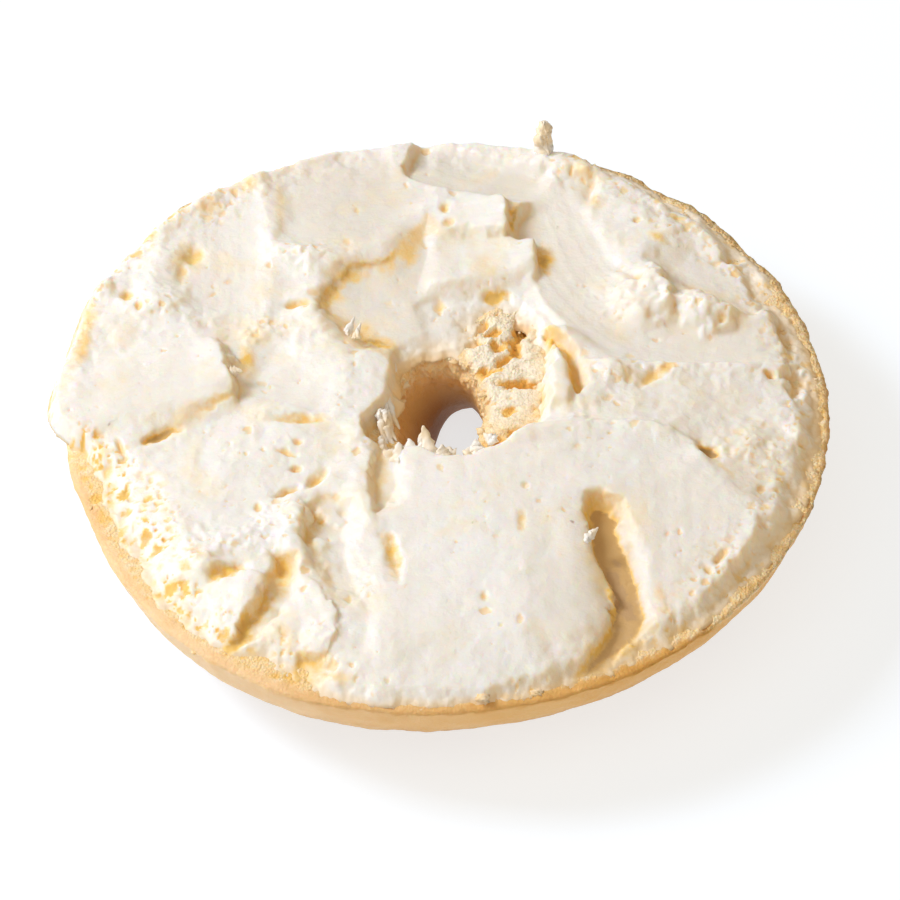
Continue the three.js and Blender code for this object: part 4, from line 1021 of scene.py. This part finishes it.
def write_outward(bm, mesh):
    """Turns all faces outward and writes them to the mesh."""
    bmesh.ops.recalc_face_normals(bm, faces=bm.faces)
    bm.to_mesh(mesh)
    bm.free()


def mesh_object(name, points, quads):
    mesh = bpy.data.meshes.new(name)
    mesh.vertices.add(len(points))
    mesh.vertices.foreach_set("co", np.ascontiguousarray(points, np.float32).ravel())
    mesh.loops.add(quads.size)
    mesh.loops.foreach_set("vertex_index", np.ascontiguousarray(quads, np.int32).ravel())
    mesh.polygons.add(len(quads))
    mesh.polygons.foreach_set("loop_start", np.arange(0, quads.size, 4, dtype=np.int32))
    mesh.polygons.foreach_set("loop_total", np.full(len(quads), 4, np.int32))
    mesh.update()
    mesh.validate()
    return placed(name, mesh)


def attributes(obj, **maps):
    for name, values in maps.items():
        a = obj.data.attributes.new(name, "FLOAT", "POINT")
        a.data.foreach_set("value", np.ascontiguousarray(values, np.float32).ravel())


def close_underneath(obj, floor_z, tuck):
    """Turns the border under, away from rim and hole, down to floor_z and caps it."""
    inner_radius = 0.03    # borders nearer to the axis are the hole's
    least_drop = 0.0002
    bm = bmesh.new()
    bm.from_mesh(obj.data)
    border = [e for e in bm.edges if e.is_boundary]
    made = bmesh.ops.extrude_edge_only(bm, edges=border)["geom"]
    for v in made:
        if isinstance(v, bmesh.types.BMVert):
            out = Vector((v.co.x, v.co.y, 0.0))
            v.co += out.normalized() * (-tuck if out.length > inner_radius else tuck)
            v.co.z = min(floor_z, v.co.z - least_drop)
    low = [e for e in made if isinstance(e, bmesh.types.BMEdge) and e.is_boundary]
    bmesh.ops.triangle_fill(bm, edges=low, use_beauty=True, use_dissolve=False, normal=(0, 0, -1))
    write_outward(bm, obj.data)


def triangles_of(obj):
    return sum(len(p.vertices) - 2 for p in obj.data.polygons)


def lighten(obj):
    """Collapses a dense mesh to at most TRIANGLES."""
    count = triangles_of(obj)
    if count > TRIANGLES:
        mod = obj.modifiers.new("lighten", "DECIMATE")
        mod.ratio = TRIANGLES / count
        with bpy.context.temp_override(object=obj, active_object=obj, selected_objects=[obj]):
            bpy.ops.object.modifier_apply(modifier=mod.name)
    smooth(obj.data)
    obj.data.update()
    print(obj.name, "triangles", triangles_of(obj), "from", count)


# ------------------------------------------------------------------ materials
class Nodes:
    """A short way to write a node tree."""

    def __init__(self, name):
        self.material = bpy.data.materials.new(name)
        self.material.use_nodes = True
        self.tree = self.material.node_tree
        self.shader = self.tree.nodes["Principled BSDF"]

    def add(self, kind, **settings):
        node = self.tree.nodes.new(kind)
        for key, value in settings.items():
            setattr(node, key, value)
        return node

    def link(self, a, b):
        self.tree.links.new(a, b)

    def value(self, node, socket, what):
        if hasattr(what, "links"):
            self.link(what, node.inputs[socket])
        else:
            node.inputs[socket].default_value = what

    def attr(self, name):
        return self.add("ShaderNodeAttribute", attribute_name=name).outputs["Fac"]

    def place(self):
        return self.add("ShaderNodeTexCoord").outputs["Object"]

    def height(self):
        split = self.add("ShaderNodeSeparateXYZ")
        self.link(self.place(), split.inputs[0])
        return split.outputs["Z"]

    def texture(self, kind, **settings):
        n = self.add(kind)
        self.link(self.place(), n.inputs["Vector"])
        for key, value in settings.items():
            n.inputs[key].default_value = value
        return n

    def noise(self, scale, detail=3.0, rough=0.55):
        return self.texture("ShaderNodeTexNoise", Scale=scale, Detail=detail, Roughness=rough).outputs["Fac"]

    def cells(self, scale):
        return self.texture("ShaderNodeTexVoronoi", Scale=scale).outputs["Distance"]

    def ramp(self, source, a, b, lo=0.0, hi=1.0):
        n = self.add("ShaderNodeMapRange", interpolation_type="SMOOTHSTEP")
        self.link(source, n.inputs["Value"])
        for key, value in (("From Min", a), ("From Max", b), ("To Min", lo), ("To Max", hi)):
            n.inputs[key].default_value = value
        return n.outputs["Result"]

    def math(self, op, a, b):
        n = self.add("ShaderNodeMath", operation=op)
        self.value(n, 0, a)
        self.value(n, 1, b)
        return n.outputs[0]

    def blend(self, fac, a, b):
        n = self.add("ShaderNodeMix", data_type="RGBA")
        self.value(n, 0, fac)
        for k, c in ((6, a), (7, b)):
            self.value(n, k, c if hasattr(c, "links") else (*c, 1.0))
        return n.outputs[2]

    def tint(self, colour, mask, share, to):
        return self.blend(self.math("MULTIPLY", mask, share), colour, to)

    def bump(self, height, distance, under=None):
        n = self.add("ShaderNodeBump")
        self.link(height, n.inputs["Height"])
        n.inputs["Distance"].default_value = distance
        if under is not None:
            self.link(under, n.inputs["Normal"])
        return n.outputs["Normal"]

    def shade(self, **sockets):
        """Links or sets the shader's sockets; an underscore stands for a blank."""
        for name, what in sockets.items():
            self.value(self.shader, name.replace("_", " "), what)
        return self.material


def cream_material(name, mapped=True):
    m = Nodes(name)
    colour = m.blend(m.ramp(m.noise(70), 0.35, 0.65), (0.94, 0.915, 0.875), (0.945, 0.94, 0.93))
    scatter = 0.0
    if mapped:
        amber = m.math("MULTIPLY", m.attr("amber"), m.ramp(m.noise(420, 4, 0.65), 0.3, 0.62, 0.45, 1.0))
        tone = m.math("MULTIPLY", m.attr("tone"), m.ramp(m.noise(160), 0.25, 0.75, 0.75, 1.0))
        for mask, share, to in (
                # tone: partly the panels' own beige, partly painted shade
                (tone, 1.0, (0.80, 0.765, 0.70)),
                (m.ramp(m.noise(130, 4, 0.6), 0.5, 0.72), 0.42, (0.97, 0.80, 0.53)),
                (m.ramp(m.attr("thick"), 0.1, 0.7, 1.0, 0.0), 0.42, (0.98, 0.77, 0.50)),
                # painted shade in hollows and at the feet of walls
                (m.ramp(m.attr("hollow"), 0.22, 1.1), 0.85, (0.94, 0.66, 0.27)),
                (m.ramp(m.attr("pin"), 0.05, 0.7), 0.6, (0.95, 0.66, 0.27)),
                # amber: partly the crumb's colour, partly painted shade
                (m.math("MINIMUM", amber, 1.0), 1.0, (0.96, 0.62, 0.15)),
                # brown where amber passes 0.9: painted shade
                (m.ramp(m.attr("amber"), 0.9, 1.9), 1.0, (0.45, 0.275, 0.13)),
                (m.ramp(m.height(), 0.0162, 0.0176, 0.8, 0.0), 1.0, (0.95, 0.68, 0.38))):
            colour = m.tint(colour, mask, share, to)
        scatter = m.ramp(m.attr("thick"), 0.3, 1.6, 0.1, 0.6)    # light doesn't travel in a thin film
    else:
        colour = m.blend(m.ramp(m.noise(300), 0.35, 0.65), colour, (0.98, 0.82, 0.58))
    fine = m.bump(m.noise(1500, 4, 0.6), 0.00008)
    return m.shade(Base_Color=colour, Roughness=m.ramp(m.noise(400, 2), 0.3, 0.7, 0.38, 0.55),
                   Specular_IOR_Level=0.4, Subsurface_Weight=scatter, Subsurface_Radius=(1.0, 0.6, 0.28),
                   Subsurface_Scale=0.0020, Normal=m.bump(m.noise(450), 0.00012, fine))


def crumb_colour(m):
    return m.blend(m.ramp(m.noise(900, 4, 0.65), 0.35, 0.7), (0.98, 0.66, 0.30), (0.99, 0.83, 0.57))


def bread_material():
    m = Nodes("bread")
    crust = m.attr("crust")
    height = m.height()
    # deep in its pores the crumb turns amber: partly its own colour, partly painted shade in the pores
    crumb = m.blend(m.ramp(m.attr("pore"), 0.05, 0.8, 0.0, 0.85), crumb_colour(m), (0.95, 0.57, 0.13))
    crumb = m.tint(crumb, m.attr("smeared"), 0.85, (0.97, 0.91, 0.78))
    tan = m.blend(m.ramp(height, 0.003, 0.0135), (0.40, 0.17, 0.04), (0.77, 0.41, 0.10))
    patches = m.ramp(m.noise(110, 4, 0.6), 0.35, 0.65)
    tan = m.tint(tan, patches, 0.4, (0.82, 0.50, 0.17))
    # painted light: the crust paler on its lower left
    tan = m.tint(tan, m.attr("pale"), m.ramp(patches, 0, 1, 0.75, 1.0), (0.98, 0.70, 0.41))
    tan = m.blend(m.ramp(m.noise(1300), 0.55, 0.75, 0.0, 0.2), tan, (0.92, 0.62, 0.32))
    # the hole's wall: brown crust, darker towards the bottom as painted shade
    brown = m.blend(m.ramp(height, 0.004, 0.014), (0.28, 0.11, 0.03), (0.86, 0.52, 0.20))
    tan = m.blend(m.attr("bore"), tan, brown)
    crumby = m.bump(m.math("MULTIPLY", m.cells(2600), m.ramp(crust, 0, 1, 1.0, 0.35)), 0.00016)
    return m.shade(Base_Color=m.blend(crust, crumb, tan), Roughness=m.ramp(crust, 0, 1, 0.85, 0.52),
                   Specular_IOR_Level=0.3, Subsurface_Weight=0.2, Subsurface_Radius=(1.0, 0.5, 0.2),
                   Subsurface_Scale=0.0012, Normal=m.bump(m.noise(2200, 4, 0.7), 0.00010, crumby))


def loose_crumb_material():
    m = Nodes("loose_crumb")
    pale = m.blend(m.ramp(m.noise(260, 2), 0.35, 0.65), (0.96, 0.82, 0.62), (0.92, 0.60, 0.26))
    colour = m.blend(m.ramp(m.noise(700), 0.3, 0.7), crumb_colour(m), pale)
    return m.shade(Base_Color=colour, Roughness=m.ramp(m.noise(900, 2), 0.3, 0.7, 0.7, 0.9),
                   Specular_IOR_Level=0.3, Subsurface_Weight=0.1, Subsurface_Radius=(1.0, 0.5, 0.2),
                   Subsurface_Scale=0.0010, Normal=m.bump(m.noise(2400, 4, 0.7), 0.00012))


def floor_material():
    m = Nodes("floor")
    colour = m.blend(m.ramp(m.noise(3, 2), 0.3, 0.7), (0.33, 0.39, 0.47), (0.35, 0.41, 0.49))
    return m.shade(Base_Color=colour, Roughness=0.9, Specular_IOR_Level=0.1,
                   Emission_Color=(1.0, 1.0, 1.0, 1.0), Emission_Strength=0.69)


# ---------------------------------------------------------------------- pieces
bread = build_bread()
lighten(bread)
bread.data.materials.append(bread_material())
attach(bread, "root")
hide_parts("bagel_half")

cream = build_spread()
lighten(cream)
cream.data.materials.append(cream_material("cream_cheese"))
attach(cream, "root")
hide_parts("cream_cheese")

crumbs = build_crumbs()
crumbs.data.materials.append(loose_crumb_material())
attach(crumbs, "root")

shreds = build_shreds()
shreds.data.materials.append(cream_material("cream_shred", mapped=False))
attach(shreds, "root")


# ------------------------------------------------------ floor, light and camera
FLOOR_HALF = 3.0
floor_mesh = bpy.data.meshes.new("floor")
corners = [(-FLOOR_HALF, -FLOOR_HALF, 0), (FLOOR_HALF, -FLOOR_HALF, 0),
           (FLOOR_HALF, FLOOR_HALF, 0), (-FLOOR_HALF, FLOOR_HALF, 0)]
floor_mesh.from_pydata(corners, [], [(0, 1, 2, 3)])
floor = placed("floor", floor_mesh)
floor.location.z = -0.0002    # just under the crust
floor.data.materials.append(floor_material())

scene = bpy.context.scene
world = bpy.data.worlds.new("studio")
world.use_nodes = True
background = world.node_tree.nodes["Background"]
background.inputs["Color"].default_value = (1.0, 0.80, 0.54, 1.0)
background.inputs["Strength"].default_value = 0.41
scene.world = world


LIT_POINT = Vector((0, 0, 0.02))


def soft_box(name, place, size, power, colour):
    light = bpy.data.lights.new(name, "AREA")
    light.size = size
    light.energy = power
    light.color = colour
    obj = placed(name, light)
    obj.location = place
    obj.rotation_euler = (LIT_POINT - Vector(place)).to_track_quat("-Z", "Y").to_euler()


soft_box("key", (-0.574, 0.154, 0.535), 0.26, 4.75, (0.955, 1.0, 1.07))
soft_box("front", (-0.15, -0.5, 0.75), 0.9, 1.6, (0.94, 1.0, 1.07))

ELEVATION = math.radians(47.0)
DISTANCE = 0.75
TARGET_Z = 0.021
AIM_RIGHT, AIM_AWAY = 0.0008, -0.0100    # frames the half as the photo does
to_camera = Vector((0.0, -math.cos(ELEVATION), math.sin(ELEVATION)))
camera = bpy.data.cameras.new("camera")
camera.sensor_width = 36.0
camera.lens = 210.0
camera.clip_end = 20.0
eye = placed("camera", camera)
eye.location = Vector((0.0, 0.0, TARGET_Z)) + DISTANCE * to_camera
eye.location += Vector((-CENTRE[0] * MM, -CENTRE[1] * MM, 0))
aim = Vector((AIM_RIGHT - CENTRE[0] * MM, AIM_AWAY - CENTRE[1] * MM, TARGET_Z))
eye.rotation_euler = (aim - eye.location).to_track_quat("-Z", "Y").to_euler()
scene.camera = eye
scene.view_settings.view_transform = "Standard"
